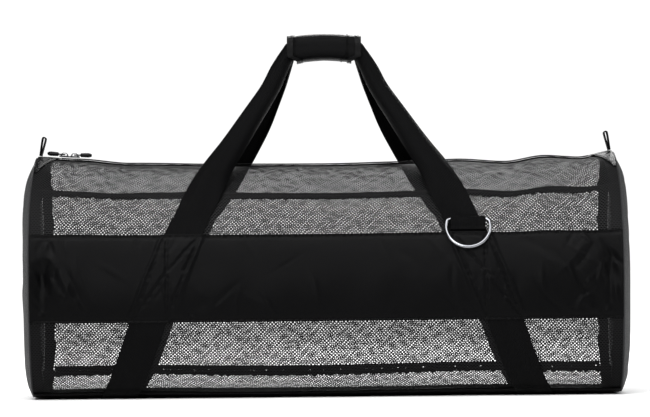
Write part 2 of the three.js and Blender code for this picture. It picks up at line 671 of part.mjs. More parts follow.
// Ring: a straight bar through the tab and an arc below it, lying on the band
function wireLoop(places, radius, sides) {
  const count = places.length;
  const grid = places.map((place, i) => {
    const tangent = places[(i + 1) % count].clone().sub(places[(i + count - 1) % count]).normalize();
    const outward = new THREE.Vector3(0, 0, 1);
    const across = new THREE.Vector3().crossVectors(tangent, outward);
    return Array.from({ length: sides }, (_, j) => {
      const angle = (j / sides) * 2 * Math.PI;
      return place
        .clone()
        .addScaledVector(across, radius * Math.cos(angle))
        .addScaledVector(outward, radius * Math.sin(angle));
    });
  });
  const index = [];
  for (let i = 0; i < count; i++) {
    for (let j = 0; j < sides; j++) {
      const [a, b] = [i * sides, ((i + 1) % count) * sides];
      const k = (j + 1) % sides;
      index.push(a + j, b + j, b + k, a + j, b + k, a + k);
    }
  }
  return turnedOut(grid.flat(), index);
}
const barHalf = Math.sqrt(RING_RADIUS ** 2 - RING_BAR ** 2);
const arcStart = Math.PI / 2 + Math.acos(RING_BAR / RING_RADIUS);
const RING_STEPS = 24;
const ringPlaces = [
  ...columnsBetween(barHalf * 0.88, -barHalf * 0.88, 3).map((x) => new THREE.Vector3(x, 0, 0)),
  ...columnsBetween(arcStart, 3 * Math.PI - arcStart, RING_STEPS).map(
    (angle) =>
      new THREE.Vector3(RING_RADIUS * Math.cos(angle), RING_RADIUS * Math.sin(angle) - RING_BAR, 0),
  ),
];
const ringPivot = new THREE.Group();
ringPivot.position.set(0, barHeight, TAB_REACH);
// Turned in until the wire lies on the band
const ringReach = RING_RADIUS + RING_BAR;
const restAngles = columnsBetween(BAND_START, BAND_START + ringReach, 24).map((s) => {
  const onBand = ringFrame.worldToLocal(wallPoint(-1, strapCentre(tabFoot), s, SEAM_GAP + LAYER + CLOTH));
  const down = barHeight - onBand.y;
  const room = TAB_REACH - onBand.z - RING_WIRE / 2 - GAP;
  return down > ringReach ? Math.PI / 2 : Math.asin(THREE.MathUtils.clamp(room / down, -1, 1));
});
ringPivot.rotation.x = Math.min(...restAngles);
ringFrame.add(ringPivot);
addPiece("d_ring", wireLoop(ringPlaces, RING_WIRE / 2, 8), "chrome", ringPivot);

// Tape loops at the top of the end seams, seen edge-on, leaning in
function loopPiece(end) {
  const shape = new THREE.Shape();
  const half = LOOP_OPEN / 2 + CLOTH;
  const foot = CLOTH;
  const round = LOOP_HEIGHT - half;
  shape.moveTo(-foot, 0);
  shape.lineTo(foot, 0);
  shape.lineTo(half, round * 0.75);
  shape.absarc(0, round, half, 0, Math.PI, false);
  shape.lineTo(-half, round * 0.75);
  const hole = new THREE.Path();
  const inner = LOOP_OPEN / 2;
  hole.moveTo(0, round * 0.22);
  hole.lineTo(-inner, round * 0.76);
  hole.absarc(0, round, inner, Math.PI, 0, true);
  hole.lineTo(inner, round * 0.76);
  shape.holes.push(hole);
  const geometry = new THREE.ExtrudeGeometry(shape, { depth: LOOP_WIDTH, bevelEnabled: false, curveSegments: 6 });
  geometry.translate(0, 0, -LOOP_WIDTH / 2);
  geometry.rotateX(Math.PI / 2);
  const footPlaces = columnsBetween(HALF_SEAM - 4 * CLOTH, HALF_SEAM, 4).map((x) =>
    wallPoint(1, end * x, 0, PATCH_OFFSET + NET + GAP),
  );
  const footHeight = Math.max(...footPlaces.map((place) => place.z));
  const group = new THREE.Group();
  group.position.set(footPlaces[2].x, 0, footHeight + foot * Math.sin(LOOP_LEAN));
  group.rotation.y = -end * LOOP_LEAN;
  bag.add(group);
  return { geometry, group };
}
[
  { label: "left", end: -1 },
  { label: "right", end: 1 },
].forEach(({ label, end }) => {
  const { geometry, group } = loopPiece(end);
  addPiece(`end_loop_${label}`, geometry, "tape", group);
});

// Zip sliders: a plate on the chain with a bridge on top that holds the pull
const wasm = await Module();
wasm.setup();
function solidOf(geometry) {
  const bare = geometry.index ? geometry.toNonIndexed() : geometry.clone();
  bare.deleteAttribute("normal");
  bare.deleteAttribute("uv");
  const merged = mergeVertices(bare, 1e-4);
  return new wasm.Manifold(
    new wasm.Mesh({
      numProp: 3,
      vertProperties: merged.attributes.position.array,
      triVerts: new Uint32Array(merged.index.array),
    }),
  );
}
function geometryOf(solid) {
  const { vertProperties, triVerts } = solid.getMesh();
  const geometry = new THREE.BufferGeometry();
  geometry.setAttribute("position", new THREE.BufferAttribute(new Float32Array(vertProperties), 3));
  geometry.setIndex(new THREE.BufferAttribute(new Uint32Array(triVerts), 1));
  return geometry;
}
const PLATE = 2.2;
const BRIDGE_RISE = 6.4;
const BRIDGE_WIDTH = 3;
const EYE_BAR = 1.8; // of the pull's eye, which passes under the bridge
const EYE_OPEN = 5.4;
const BRIDGE_HOLE = EYE_BAR + 2 * GAP + 1;
function sliderSolid() {
  const plate = new THREE.BoxGeometry(SLIDER_LENGTH, SLIDER_WIDTH, PLATE).translate(0, 0, PLATE / 2);
  const shape = new THREE.Shape();
  const reach = SLIDER_LENGTH * 0.42;
  shape.moveTo(-reach, PLATE / 2);
  shape.lineTo(reach, PLATE / 2);
  shape.lineTo(reach * 0.8, BRIDGE_RISE * 0.75);
  shape.lineTo(reach * 0.4, BRIDGE_RISE);
  shape.lineTo(-reach * 0.4, BRIDGE_RISE);
  shape.lineTo(-reach * 0.8, BRIDGE_RISE * 0.75);
  const hole = new THREE.Path();
  const span = reach * 0.55;
  hole.moveTo(-span, PLATE);
  hole.lineTo(-span, PLATE + BRIDGE_HOLE * 0.7);
  hole.lineTo(-span * 0.5, PLATE + BRIDGE_HOLE);
  hole.lineTo(span * 0.5, PLATE + BRIDGE_HOLE);
  hole.lineTo(span, PLATE + BRIDGE_HOLE * 0.7);
  hole.lineTo(span, PLATE);
  shape.holes.push(hole);
  const bridge = new THREE.ExtrudeGeometry(shape, { depth: BRIDGE_WIDTH, bevelEnabled: false });
  bridge.translate(0, 0, -BRIDGE_WIDTH / 2);
  bridge.rotateX(Math.PI / 2);
  return geometryOf(solidOf(plate).add(solidOf(bridge)));
}

// Pull: an eye round the bridge and a moulded end. It lies outward, away from the other pull.
function pullSolid() {
  const shape = new THREE.Shape();
  const half = PULL_WIDTH / 2;
  shape.moveTo(-EYE_BAR / 2, -half * 0.8);
  shape.lineTo(PULL_LENGTH * 0.35, -half * 0.8);
  shape.lineTo(PULL_LENGTH * 0.5, -half);
  shape.lineTo(PULL_LENGTH * 0.9, -half);
  shape.lineTo(PULL_LENGTH, -half * 0.6);
  shape.lineTo(PULL_LENGTH, half * 0.6);
  shape.lineTo(PULL_LENGTH * 0.9, half);
  shape.lineTo(PULL_LENGTH * 0.5, half);
  shape.lineTo(PULL_LENGTH * 0.35, half * 0.8);
  shape.lineTo(-EYE_BAR / 2, half * 0.8);
  const eye = new THREE.Path();
  const side = BRIDGE_WIDTH / 2 + GAP + PULL_PLAY;
  eye.moveTo(EYE_BAR / 2, -side);
  eye.lineTo(EYE_BAR / 2, side);
  eye.lineTo(EYE_BAR / 2 + EYE_OPEN, side);
  eye.lineTo(EYE_BAR / 2 + EYE_OPEN, -side);
  shape.holes.push(eye);
  const geometry = new THREE.ExtrudeGeometry(shape, { depth: EYE_BAR, bevelEnabled: false });
  geometry.translate(0, 0, -EYE_BAR / 2);
  return geometry;
}
const SLIDER_SPACING = SLIDER_LENGTH + 4 * GAP;
const SLIDER_OFFSET = CHAIN_OFFSET + CHAIN_HEIGHT + GAP;
[
  { label: "left", turn: -1 },
  { label: "right", turn: 1 },
].forEach(({ label, turn }) => {
  const x = -HALF_SEAM + SLIDERS_FROM_END + (turn * SLIDER_SPACING) / 2;
  const slider = new THREE.Group();
  const ahead = wallPoint(1, x + SLIDER_LENGTH / 2, 0, SLIDER_OFFSET);
  const behind = wallPoint(1, x - SLIDER_LENGTH / 2, 0, SLIDER_OFFSET);
  slider.position.copy(wallPoint(1, x, 0, SLIDER_OFFSET));
  slider.position.z = Math.max(slider.position.z, (ahead.z + behind.z) / 2) + GAP / 2;
  slider.rotation.y = -Math.atan2(ahead.z - behind.z, ahead.x - behind.x);
  bag.add(slider);
  addPiece(`zip_slider_${label}`, sliderSolid(), "chrome", slider);
  const pull = new THREE.Group();
  pull.position.z = PLATE + GAP + EYE_BAR / 2 + PULL_PLAY;
  pull.rotation.z = turn < 0 ? Math.PI : 0;
  slider.add(pull);
  addPiece(`zip_pull_${label}`, pullSolid(), "plastic", pull);
});

export default bag;
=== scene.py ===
import json
import math

import bmesh
import bpy
import numpy as np
from mathutils import Matrix, Vector


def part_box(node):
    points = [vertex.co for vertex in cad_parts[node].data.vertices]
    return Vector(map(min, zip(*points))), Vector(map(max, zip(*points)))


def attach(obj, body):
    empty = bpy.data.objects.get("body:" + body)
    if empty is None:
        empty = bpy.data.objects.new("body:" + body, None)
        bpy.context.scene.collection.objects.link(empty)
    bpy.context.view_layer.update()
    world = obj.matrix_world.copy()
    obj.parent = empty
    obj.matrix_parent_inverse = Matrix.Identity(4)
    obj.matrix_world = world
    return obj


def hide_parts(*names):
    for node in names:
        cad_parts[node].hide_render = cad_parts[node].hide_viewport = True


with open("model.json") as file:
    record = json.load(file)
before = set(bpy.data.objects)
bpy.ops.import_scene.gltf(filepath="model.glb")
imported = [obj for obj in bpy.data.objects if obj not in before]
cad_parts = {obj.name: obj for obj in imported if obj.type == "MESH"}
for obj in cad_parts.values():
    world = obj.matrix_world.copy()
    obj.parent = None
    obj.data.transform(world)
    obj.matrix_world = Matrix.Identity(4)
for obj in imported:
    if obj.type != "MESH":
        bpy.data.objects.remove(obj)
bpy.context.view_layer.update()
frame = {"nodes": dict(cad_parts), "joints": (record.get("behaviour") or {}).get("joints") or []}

# Studio: a wide pale floor under a white surround, lit by a broad sun above and by soft
# panels in front, at the right and behind. The surround lights the bag only faintly, and
# the camera stands far off at about the height of the bag's middle.
SURROUND_LIGHT = 0.16
SURROUND_SEEN = 1.05
FLOOR_HALF = 40
PALE = (0.86, 0.86, 0.86, 1)
MIDDLE_HEIGHT = 0.2
scene = bpy.context.scene
scene.view_settings.view_transform = "Standard"
surround = bpy.data.worlds.new("surround")
surround.use_nodes = True
backdrop = surround.node_tree.nodes["Background"]
backdrop.inputs["Color"].default_value = (1, 1, 1, 1)
seen = surround.node_tree.nodes.new("ShaderNodeLightPath")
strength = surround.node_tree.nodes.new("ShaderNodeMapRange")
strength.inputs["To Min"].default_value = SURROUND_LIGHT
strength.inputs["To Max"].default_value = SURROUND_SEEN
surround.node_tree.links.new(seen.outputs["Is Camera Ray"], strength.inputs["Value"])
surround.node_tree.links.new(strength.outputs["Result"], backdrop.inputs["Strength"])
scene.world = surround


def finished_mesh(bm, name):
    """A mesh of this name from a bmesh, which is freed."""
    mesh = bpy.data.meshes.new(name)
    bm.to_mesh(mesh)
    bm.free()
    return mesh


def in_scene(name, data):
    """A new object of this name, linked to the scene."""
    made = bpy.data.objects.new(name, data)
    scene.collection.objects.link(made)
    return made


floor_bm = bmesh.new()
bmesh.ops.create_grid(floor_bm, x_segments=1, y_segments=1, size=FLOOR_HALF)
studio_floor = in_scene("studio_floor", finished_mesh(floor_bm, "studio_floor"))
pale_floor = bpy.data.materials.new("pale_floor")
pale_floor.use_nodes = True
pale_sockets = pale_floor.node_tree.nodes["Principled BSDF"].inputs
pale_sockets["Base Color"].default_value = PALE
pale_sockets["Roughness"].default_value = 1.0
pale_sockets["Specular IOR Level"].default_value = 0.0
studio_floor.data.materials.append(pale_floor)

overhead_data = bpy.data.lights.new("overhead", "SUN")
overhead_data.energy = 4.1
overhead_data.angle = math.radians(70)
overhead = in_scene("overhead", overhead_data)
overhead.rotation_euler = (math.radians(24), math.radians(-8), 0)
for name, place, size, power in (
    ("key_light", (-0.6, -3.0, 1.8), 1.0, 62),
    ("side_light", (2.9, -0.9, 1.3), 1.0, 20),
    ("back_light", (0.5, 2.9, 2.2), 1.2, 60),
):
    panel_data = bpy.data.lights.new(name, "AREA")
    panel_data.size = size
    panel_data.energy = power
    panel_light = in_scene(name, panel_data)
    panel_light.location = place
    aim = Vector((0, 0, MIDDLE_HEIGHT)) - Vector(place)
    panel_light.rotation_euler = aim.to_track_quat("-Z", "Y").to_euler()

camera_data = bpy.data.cameras.new("camera")
camera_data.sensor_width = 36
camera_data.lens = 231.9
camera_data.shift_y = 0.072
camera_data.clip_end = 100
camera = in_scene("camera", camera_data)
camera.location = (-0.0014, -6.0, MIDDLE_HEIGHT)
camera.rotation_euler = (math.radians(90), math.radians(0.57), 0)
scene.camera = camera

# Net walls: open knitted net of black nylon, six lengths in all, sewn edge to edge round
# the barrel. Each is cut from flat net with staggered holes and laid on the barrel's curve.
TOP_RADIUS = 0.17
SIDE_HEIGHT = 0.165
SIDE_RADIUS = 0.23
CORNER_ANGLE = math.radians(120)
FLOOR_LIFT = 0.0044
HALF_SEAM = 0.4141
END_RAKE = 0.004
SEAM_GAP = 0.0005
OVERLAP = 0.008
CORNER_RADIUS = (SIDE_HEIGHT - FLOOR_LIFT + SIDE_RADIUS * math.cos(CORNER_ANGLE)) / (
    1 + math.cos(CORNER_ANGLE)
)
FLAT_HALF = (
    TOP_RADIUS
    - SIDE_RADIUS * (1 - math.sin(CORNER_ANGLE))
    - CORNER_RADIUS * math.sin(CORNER_ANGLE)
)
SIDE_START = TOP_RADIUS * math.pi / 2
CORNER_START = SIDE_START + SIDE_RADIUS * (CORNER_ANGLE - math.pi / 2)
FLAT_START = CORNER_START + CORNER_RADIUS * (math.pi - CORNER_ANGLE)
HALF_GIRTH = FLAT_START + FLAT_HALF
# The top line: place along as a share of HALF_SEAM, rise as a share of TOP_RADIUS.
TOP_LINE = np.array(
    [
        (-1.0, 0.041),
        (-0.86, 0.02),
        (-0.67, -0.02),
        (-0.35, -0.036),
        (0.0, -0.04),
        (0.3, -0.028),
        (0.46, -0.012),
        (0.62, -0.034),
        (0.76, 0.012),
        (0.88, -0.004),
        (1.0, 0.046),
    ]
)
# Dents: place and width along as shares of HALF_SEAM, place and width round as shares of
# HALF_GIRTH, and depth as a share of TOP_RADIUS. The wall swells where it is below zero.
WALL_DENTS = [
    (-0.8, 0.16, 0.2, 0.1, 0.02),
    (-0.42, 0.12, 0.15, 0.08, -0.012),
    (0.08, 0.3, 0.17, 0.1, 0.016),
    (0.66, 0.1, 0.18, 0.1, 0.02),
    (-0.955, 0.06, 0.5, 0.16, 0.022),
    (0.955, 0.06, 0.5, 0.16, 0.022),
    (-0.1, 0.3, 0.72, 0.1, -0.02),
    (0.5, 0.2, 0.76, 0.08, 0.016),
    (-0.62, 0.18, 0.76, 0.08, 0.014),
    (-0.958, 0.02, 0.477, 0.04, 0.04),
    (0.958, 0.02, 0.47, 0.045, 0.04),
    (-0.925, 0.014, 0.44, 0.018, -0.014),
    (0.93, 0.014, 0.5, 0.02, -0.014),
]


def ease(value, low, high):
    share = np.clip((value - low) / (high - low), 0, 1)
    return share * share * (3 - 2 * share)


def round_at(height):
    """Distance round the wall from the top line down to a height above the floor."""
    if height >= SIDE_HEIGHT:
        return TOP_RADIUS * math.acos((height - SIDE_HEIGHT) / TOP_RADIUS)
    angle = math.acos((height - SIDE_HEIGHT) / SIDE_RADIUS)
    if angle <= CORNER_ANGLE:
        return SIDE_START + SIDE_RADIUS * (angle - math.pi / 2)
    corner = math.acos((height - FLOOR_LIFT - CORNER_RADIUS) / CORNER_RADIUS)
    return CORNER_START + CORNER_RADIUS * (corner - CORNER_ANGLE)


def on_wall(side, x, reach, lift):
    """Points on the barrel: side -1 front or 1 back, reach round from the top, lift outward."""
    side, x, reach, lift = np.broadcast_arrays(side, x, reach, lift)
    parts = [reach < SIDE_START, reach < CORNER_START, reach < FLAT_START]
    angle = np.select(
        parts,
        [
            reach / TOP_RADIUS,
            math.pi / 2 + (reach - SIDE_START) / SIDE_RADIUS,
            CORNER_ANGLE + (reach - CORNER_START) / CORNER_RADIUS,
        ],
        math.pi,
    )
    radius = np.select(parts, [TOP_RADIUS, SIDE_RADIUS, CORNER_RADIUS], 0)
    centre_out = np.select(parts, [0, TOP_RADIUS - SIDE_RADIUS, FLAT_HALF], HALF_GIRTH - reach)
    centre_up = np.select(
        parts, [SIDE_HEIGHT, SIDE_HEIGHT, FLOOR_LIFT + CORNER_RADIUS], FLOOR_LIFT
    )
    normal_out, normal_up = np.sin(angle), np.cos(angle)
    out = centre_out + radius * normal_out
    up = centre_up + radius * normal_up
    along = x / HALF_SEAM
    dent = np.zeros(along.shape)
    for place, wide, share, spread, depth in WALL_DENTS:
        bell = ((along - place) / wide) ** 2 + ((reach / HALF_GIRTH - share) / spread) ** 2
        dent += TOP_RADIUS * depth * np.exp(-bell)
    place = np.clip(np.searchsorted(TOP_LINE[:, 0], along), 1, len(TOP_LINE) - 1)
    low, high = TOP_LINE[place - 1], TOP_LINE[place]
    rise = low[..., 1] + (high[..., 1] - low[..., 1]) * ease(along, low[..., 0], high[..., 0])
    crown = np.maximum(0, (up - SIDE_HEIGHT) / TOP_RADIUS)
    push = lift - dent
    flat = reach >= FLAT_START
    return np.stack(
        [
            x - END_RAKE * crown**5 * np.abs(along) ** 6 * np.sign(x),
            side * (out + normal_out * push),
            up + normal_up * np.where(flat, lift, push) + TOP_RADIUS * rise * crown**1.5,
        ],
        -1,
    )


ZIP_EDGE = 0.015
UPPER_SEAM = round_at(0.292)
LEAVE = round_at(0.256)
BAND_START = round_at(0.231)
BAND_END = round_at(0.109)
LOWER_SEAM = round_at(0.036)
BASE_EDGE = round_at(0.01)
STRAP_JOIN = (BAND_START + BAND_END) / 2
HOLE_STEP = 0.00448
HOLE_ROW = 0.00275
STRAND_HALF = 0.00066
STRAND_ROUND = 0.0004
NET_PULL = {-1: 0.0004, 1: 0.0019}
PULL_FADE = 0.02
BAG_MIDDLE = np.array([0, 0, SIDE_HEIGHT])
SIDES = (("front", -1), ("back", 1))


def node(tree, kind, **inputs):
    """A shader node of that kind, its sockets set or linked by name, or i and a number."""
    made = tree.nodes.new(kind)
    for key, value in inputs.items():
        socket = made.inputs[int(key[1:])] if key[1:].isdigit() else made.inputs[key]
        if isinstance(value, bpy.types.NodeSocket):
            tree.links.new(value, socket)
        else:
            socket.default_value = value
    return made


def blank_material(name, colour, roughness, specular=0.5):
    """A new material with one base shader, its nodes, and that shader's sockets."""
    made = bpy.data.materials.new(name)
    made.use_nodes = True
    sockets = made.node_tree.nodes["Principled BSDF"].inputs
    sockets["Base Color"].default_value = (*colour, 1)
    sockets["Roughness"].default_value = roughness
    sockets["Specular IOR Level"].default_value = specular
    return made, made.node_tree, sockets


def noise(tree, scale, detail, **more):
    """The value of a noise on Object coordinates."""
    where = node(tree, "ShaderNodeTexCoord").outputs["Object"]
    made = node(tree, "ShaderNodeTexNoise", Vector=where, Scale=scale, Detail=detail, **more)
    return made.outputs["Fac"]


def grain(tree, sockets, scale, detail, strength, depth):
    """Fine relief from a noise of this scale."""
    height = noise(tree, scale, detail)
    relief = node(tree, "ShaderNodeBump", Strength=strength, Distance=depth, Height=height)
    tree.links.new(relief.outputs["Normal"], sockets["Normal"])


def two_shades(tree, value, low, high):
    """A colour that follows a value between two stops, each a place and a colour."""
    shade = node(tree, "ShaderNodeValToRGB", Fac=value)
    for stop, (at, colour) in zip(shade.color_ramp.elements, (low, high)):
        stop.position = at
        stop.color = (*colour, 1)
    return shade.outputs["Color"]


def finish_piece(mesh, name, material, nodes, body="bag"):
    """Turns the mesh's faces outward and makes it a shown piece in place of its CAD nodes."""
    mesh.update()
    count = len(mesh.polygons)
    normals, centres = np.empty(count * 3), np.empty(count * 3)
    mesh.polygons.foreach_get("normal", normals)
    mesh.polygons.foreach_get("center", centres)
    outward = (centres.reshape(-1, 3) - BAG_MIDDLE) * normals.reshape(-1, 3)
    if outward.sum() < 0:
        mesh.flip_normals()
    mesh.shade_smooth()
    mesh.materials.append(material)
    piece = in_scene(name, mesh)
    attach(piece, body)
    if nodes:
        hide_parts(*nodes)
    return piece


def places_of(mesh):
    """The places of a mesh's vertices, a row for each."""
    flat = np.empty(len(mesh.vertices) * 3)
    mesh.vertices.foreach_get("co", flat)
    return flat.reshape(-1, 3)


def keep_cloth(mesh, cloth):
    """Keeps each vertex's place on the flat cloth, in metres, as the UV map cloth."""
    corners = np.empty(len(mesh.loops), int)
    mesh.loops.foreach_get("vertex_index", corners)
    mesh.uv_layers.new(name="cloth").uv.foreach_set("vector", cloth[corners].ravel())


def spread_flat(mesh, place):
    """Moves a flat grid's vertices where place puts them, which also gives the flat cloth."""
    points, cloth = place(places_of(mesh))
    mesh.vertices.foreach_set("co", points.ravel())
    keep_cloth(mesh, cloth)


def unit_grid(columns, rows):
    """A flat grid from 0 to 1 each way."""
    bm = bmesh.new()
    bmesh.ops.create_grid(bm, x_segments=columns, y_segments=rows, size=0.5)
    bmesh.ops.translate(bm, verts=bm.verts, vec=(0.5, 0.5, 0))
    return bm


def wobble(x, seed, *lengths):
    """An uneven wave along x, from -1 to 1, made of waves of these lengths."""
    turns = np.random.default_rng(seed).random(len(lengths)) * 2 * math.pi
    waves = [np.sin(2 * math.pi * x / far + turn) for far, turn in zip(lengths, turns)]
    return sum(waves) / len(lengths)


def net_length(label, side, start, end):
    """One length of net between two distances round the barrel. The back's runs crosswise."""
    sizes = (2 * HALF_SEAM, end - start) if side < 0 else (end - start, 2 * HALF_SEAM)
    columns = round(sizes[0] / HOLE_STEP)
    rows = round(sizes[1] / HOLE_ROW)
    bm = unit_grid(2 * columns, rows)
    bmesh.ops.scale(bm, verts=bm.verts, vec=(2 * columns, rows, 1))
    spare = []
    for edge in bm.edges:
        a, b = edge.verts
        column = round(a.co.x)
        if abs(a.co.x - b.co.x) < 0.5 and 0 < column < 2 * columns:
            if (column + round(min(a.co.y, b.co.y))) % 2 == 0:
                spare.append(edge)
    bmesh.ops.dissolve_edges(bm, edges=spare, use_verts=False)
    for vert in bm.verts:
        column, row = round(vert.co.x), round(vert.co.y)
        if 0 < row < rows:
            vert.co.y += 1 / 6 if (column + row) % 2 else -1 / 6
    bmesh.ops.scale(bm, verts=bm.verts, vec=(sizes[0] / columns / 2, sizes[1] / rows, 1))
    holes = bm.faces[:]
    bmesh.ops.inset_individual(
        bm, faces=holes, thickness=STRAND_HALF, depth=-STRAND_ROUND, use_even_offset=True
    )
    bmesh.ops.delete(bm, geom=holes, context="FACES_ONLY")
    mesh = finished_mesh(bm, f"net_{label}")

    def place(flat):
        long_way, cross_way = (0, 1) if side < 0 else (1, 0)
        x, reach = flat[:, long_way] - HALF_SEAM, start + flat[:, cross_way]
        seam_free = ease(np.minimum(reach - start, end - reach), 0, PULL_FADE)
        seam_free *= ease(HALF_SEAM - np.abs(x), 0, PULL_FADE)
        pull = NET_PULL[side] * seam_free
        pull_x = pull * wobble(reach + 0.35 * x, side + 31, 0.031, 0.043, 0.019)
        pull_round = pull * wobble(x + 0.5 * reach, side + 35, 0.037, 0.052, 0.023)
        points = on_wall(side, x + pull_x, reach + pull_round, flat[:, 2])
        return points, np.stack([x, reach], -1)

    spread_flat(mesh, place)
    return finish_piece(mesh, f"net_{label}", net_black, [f"mesh_{label}"])


net_black, tree, net_sockets = blank_material("net_black", (0.0045, 0.0045, 0.0049), 0.5, 0.1)
clean, dusty = (0.35, (0.003, 0.003, 0.0033)), (0.7, (0.0068, 0.0068, 0.0072))
tree.links.new(two_shades(tree, noise(tree, 9.0, 4.0), clean, dusty), net_sockets["Base Color"])
grain(tree, net_sockets, 1400.0, 3.0, 0.5, 0.0003)

for label, side in SIDES:
    net_length(f"top_{label}", side, ZIP_EDGE - OVERLAP, UPPER_SEAM)
    net_length(f"upper_{label}", side, UPPER_SEAM, BAND_START + OVERLAP)
    net_length(f"lower_{label}", side, BAND_END - OVERLAP, BASE_EDGE + OVERLAP)

# Inner seam tapes: strips of black tape sewn inside the net over its lengthwise seams. They
# show through the net as dark lines with a gathered, uneven edge.
NET = 0.0012
GAP = 0.0003
SEAM_TAPE = 0.009
TAPE_RAG = 0.0016
TAPE_FOLD = 0.0005
END_BINDING = 0.015
DEEP_BLACK = (0.0018, 0.0018, 0.002)


def bevelled(piece, width, angle):
    """Rounds the edges of a piece that turn by more than this angle."""
    edge = piece.modifiers.new("edge", "BEVEL")
    edge.width = width
    edge.segments = 2
    edge.limit_method = "ANGLE"
    edge.angle_limit = math.radians(angle)


def sewn_cloth(name, columns, rows, place, thickness, material, nodes):
    """A flat grid of cloth laid by place(u, v), both from 0 to 1, and thickened inward."""
    mesh = finished_mesh(unit_grid(columns, rows), name)
    spread_flat(mesh, lambda flat: place(flat[:, 0], flat[:, 1]))
    piece = finish_piece(mesh, name, material, nodes)
    wall = piece.modifiers.new("cloth", "SOLIDIFY")
    wall.thickness = thickness
    wall.offset = -1
    bevelled(piece, thickness * 0.3, 60)


def uneven_gloss(tree, sockets, value, low, high):
    """Roughness that follows a value from low to high."""
    rough = node(tree, "ShaderNodeMapRange", i0=value, i3=low, i4=high)
    tree.links.new(rough.outputs[0], sockets["Roughness"])


def woven(name, colour, roughness, step, depth, specular, sheen=0.0, twill=0.0):
    """Woven cloth in its own UV map, in metres: threads at a step, broad shade and wear."""
    made, tree, sockets = blank_material(name, colour, roughness, specular)
    sockets["Sheen Weight"].default_value = sheen
    sockets["Sheen Roughness"].default_value = 0.45
    cloth = node(tree, "ShaderNodeUVMap")
    cloth.uv_map = "cloth"
    parts = node(tree, "ShaderNodeSeparateXYZ", Vector=cloth.outputs["UV"])
    slant = node(tree, "ShaderNodeMath", i0=parts.outputs["X"], i1=2 * twill)
    slant.operation = "PINGPONG" if twill else "MULTIPLY"
    shifted = node(tree, "ShaderNodeMath", i0=slant.outputs[0], i1=parts.outputs["Y"])
    threads = []
    for value in (parts.outputs["X"], shifted.outputs[0]):
        line = node(tree, "ShaderNodeMath", i0=value, i1=2 * math.pi / step)
        line.operation = "MULTIPLY"
        wave = node(tree, "ShaderNodeMath", i0=line.outputs[0])
        wave.operation = "SINE"
        threads.append(wave.outputs[0])
    crossing = node(tree, "ShaderNodeMath", i0=threads[0], i1=threads[1])
    crossing.operation = "ADD" if twill else "MULTIPLY"
    fibre = noise(tree, 900.0, 3.0)
    broad = noise(tree, 7.0, 5.0, Roughness=0.6)
    worn, faded = (0.3, [0.72 * c for c in colour]), (0.75, [1.3 * c for c in colour])
    tint = node(tree, "ShaderNodeMix", i0=0.3, i6=two_shades(tree, broad, worn, faded))
    tint.data_type = "RGBA"
    tint.blend_type = "MULTIPLY"
    tree.links.new(fibre, tint.inputs[7])
    tree.links.new(tint.outputs[2], sockets["Base Color"])
    uneven_gloss(tree, sockets, broad, roughness - 0.07, roughness + 0.09)
    height = node(tree, "ShaderNodeMath", i0=fibre, i1=crossing.outputs[0]).outputs[0]
    relief = node(tree, "ShaderNodeBump", Strength=0.45, Distance=depth, Height=height)
    tree.links.new(relief.outputs["Normal"], sockets["Normal"])
    return made


tape_black = woven("tape_black", DEEP_BLACK, 0.66, 0.0012, 0.0002, 0.03)


def inner_tape(label, side, middle):
    reach = HALF_SEAM - END_BINDING - GAP

    def place(u, v):
        x = (2 * u - 1) * reach
        edge = (2 * v - 1) * SEAM_TAPE / 2
        seed = 3 if side < 0 else 4
        edge = edge + TAPE_RAG * wobble(x, seed, 0.021, 0.0093, 0.012) * (1 + 0.6 * (2 * v - 1))
        fold = TAPE_FOLD * wobble(x, seed + 8, 0.009, 0.015) * np.sin(math.pi * v)
        return on_wall(side, x, middle + edge, -NET - GAP - np.abs(fold)), np.stack([x, edge], -1)

    sewn_cloth(
        f"inner_tape_{label}", 280, 4, place, NET, tape_black, [f"seam_tape_{label}"]
    )


for label, side in SIDES:
    inner_tape(f"upper_{label}", side, UPPER_SEAM)
    inner_tape(f"lower_{label}", side, LOWER_SEAM)

# End bindings: a black band inside each end of the barrel, sewn over the raw edges of the
# net where it meets the end panel. It shows through the net as a dark border.
BINDING_FOLD = 0.0004
ENDS = (("left", -1), ("right", 1))


def end_bound(label, end):
    def place(u, v):
        turn = (2 * v - 1) * HALF_GIRTH
        inset = u * END_BINDING * (1 + 0.12 * wobble(turn, 5, 0.05, 0.083, 0.031) * u)
        x = end * (HALF_SEAM - inset)
        lift = -NET - SEAM_GAP - BINDING_FOLD * np.abs(wobble(turn, 6, 0.016, 0.027))
        return on_wall(np.sign(turn), x, np.abs(turn), lift), np.stack([inset, turn], -1)

    sewn_cloth(
        f"end_bound_{label}", 4, 300, place, NET, tape_black, [f"end_binding_{label}"]
    )


for label, end in ENDS:
    end_bound(label, end)

# Base: one piece of coated nylon under the bag, lapped over the lower edges of the net and
# sewn to it. It is flat where it stands and turns up along both sides.
CLOTH = 0.0016
BASE_RIPPLE = 0.0005
nylon_black = woven("nylon_black", DEEP_BLACK, 0.42, 0.0007, 0.00012, 0.045)


def base_place(u, v):
    x = (2 * u - 1) * HALF_SEAM
    across = (2 * v - 1) * (HALF_GIRTH - BASE_EDGE)
    reach = HALF_GIRTH - np.abs(across)
    ripple = BASE_RIPPLE * wobble(x, 12, 0.06, 0.023, 0.11) * ease(np.abs(across), 0.03, 0.09)
    lift = SEAM_GAP + CLOTH + np.abs(ripple)
    return on_wall(np.sign(across), x, reach, lift), np.stack([x, across], -1)


sewn_cloth("base_cloth", 200, 64, base_place, CLOTH, nylon_black, ["base_panel"])

# Carrying straps: flat nylon webbing sewn down each side and round under the base. Over the
# barrel each end rises as a handle, and the free legs fold lengthwise toward the grip.
WEBBING = 0.0018
STRAP_HALF = 0.0245
GRIP_HEIGHT = 0.5
WRAP_LENGTH = 0.106
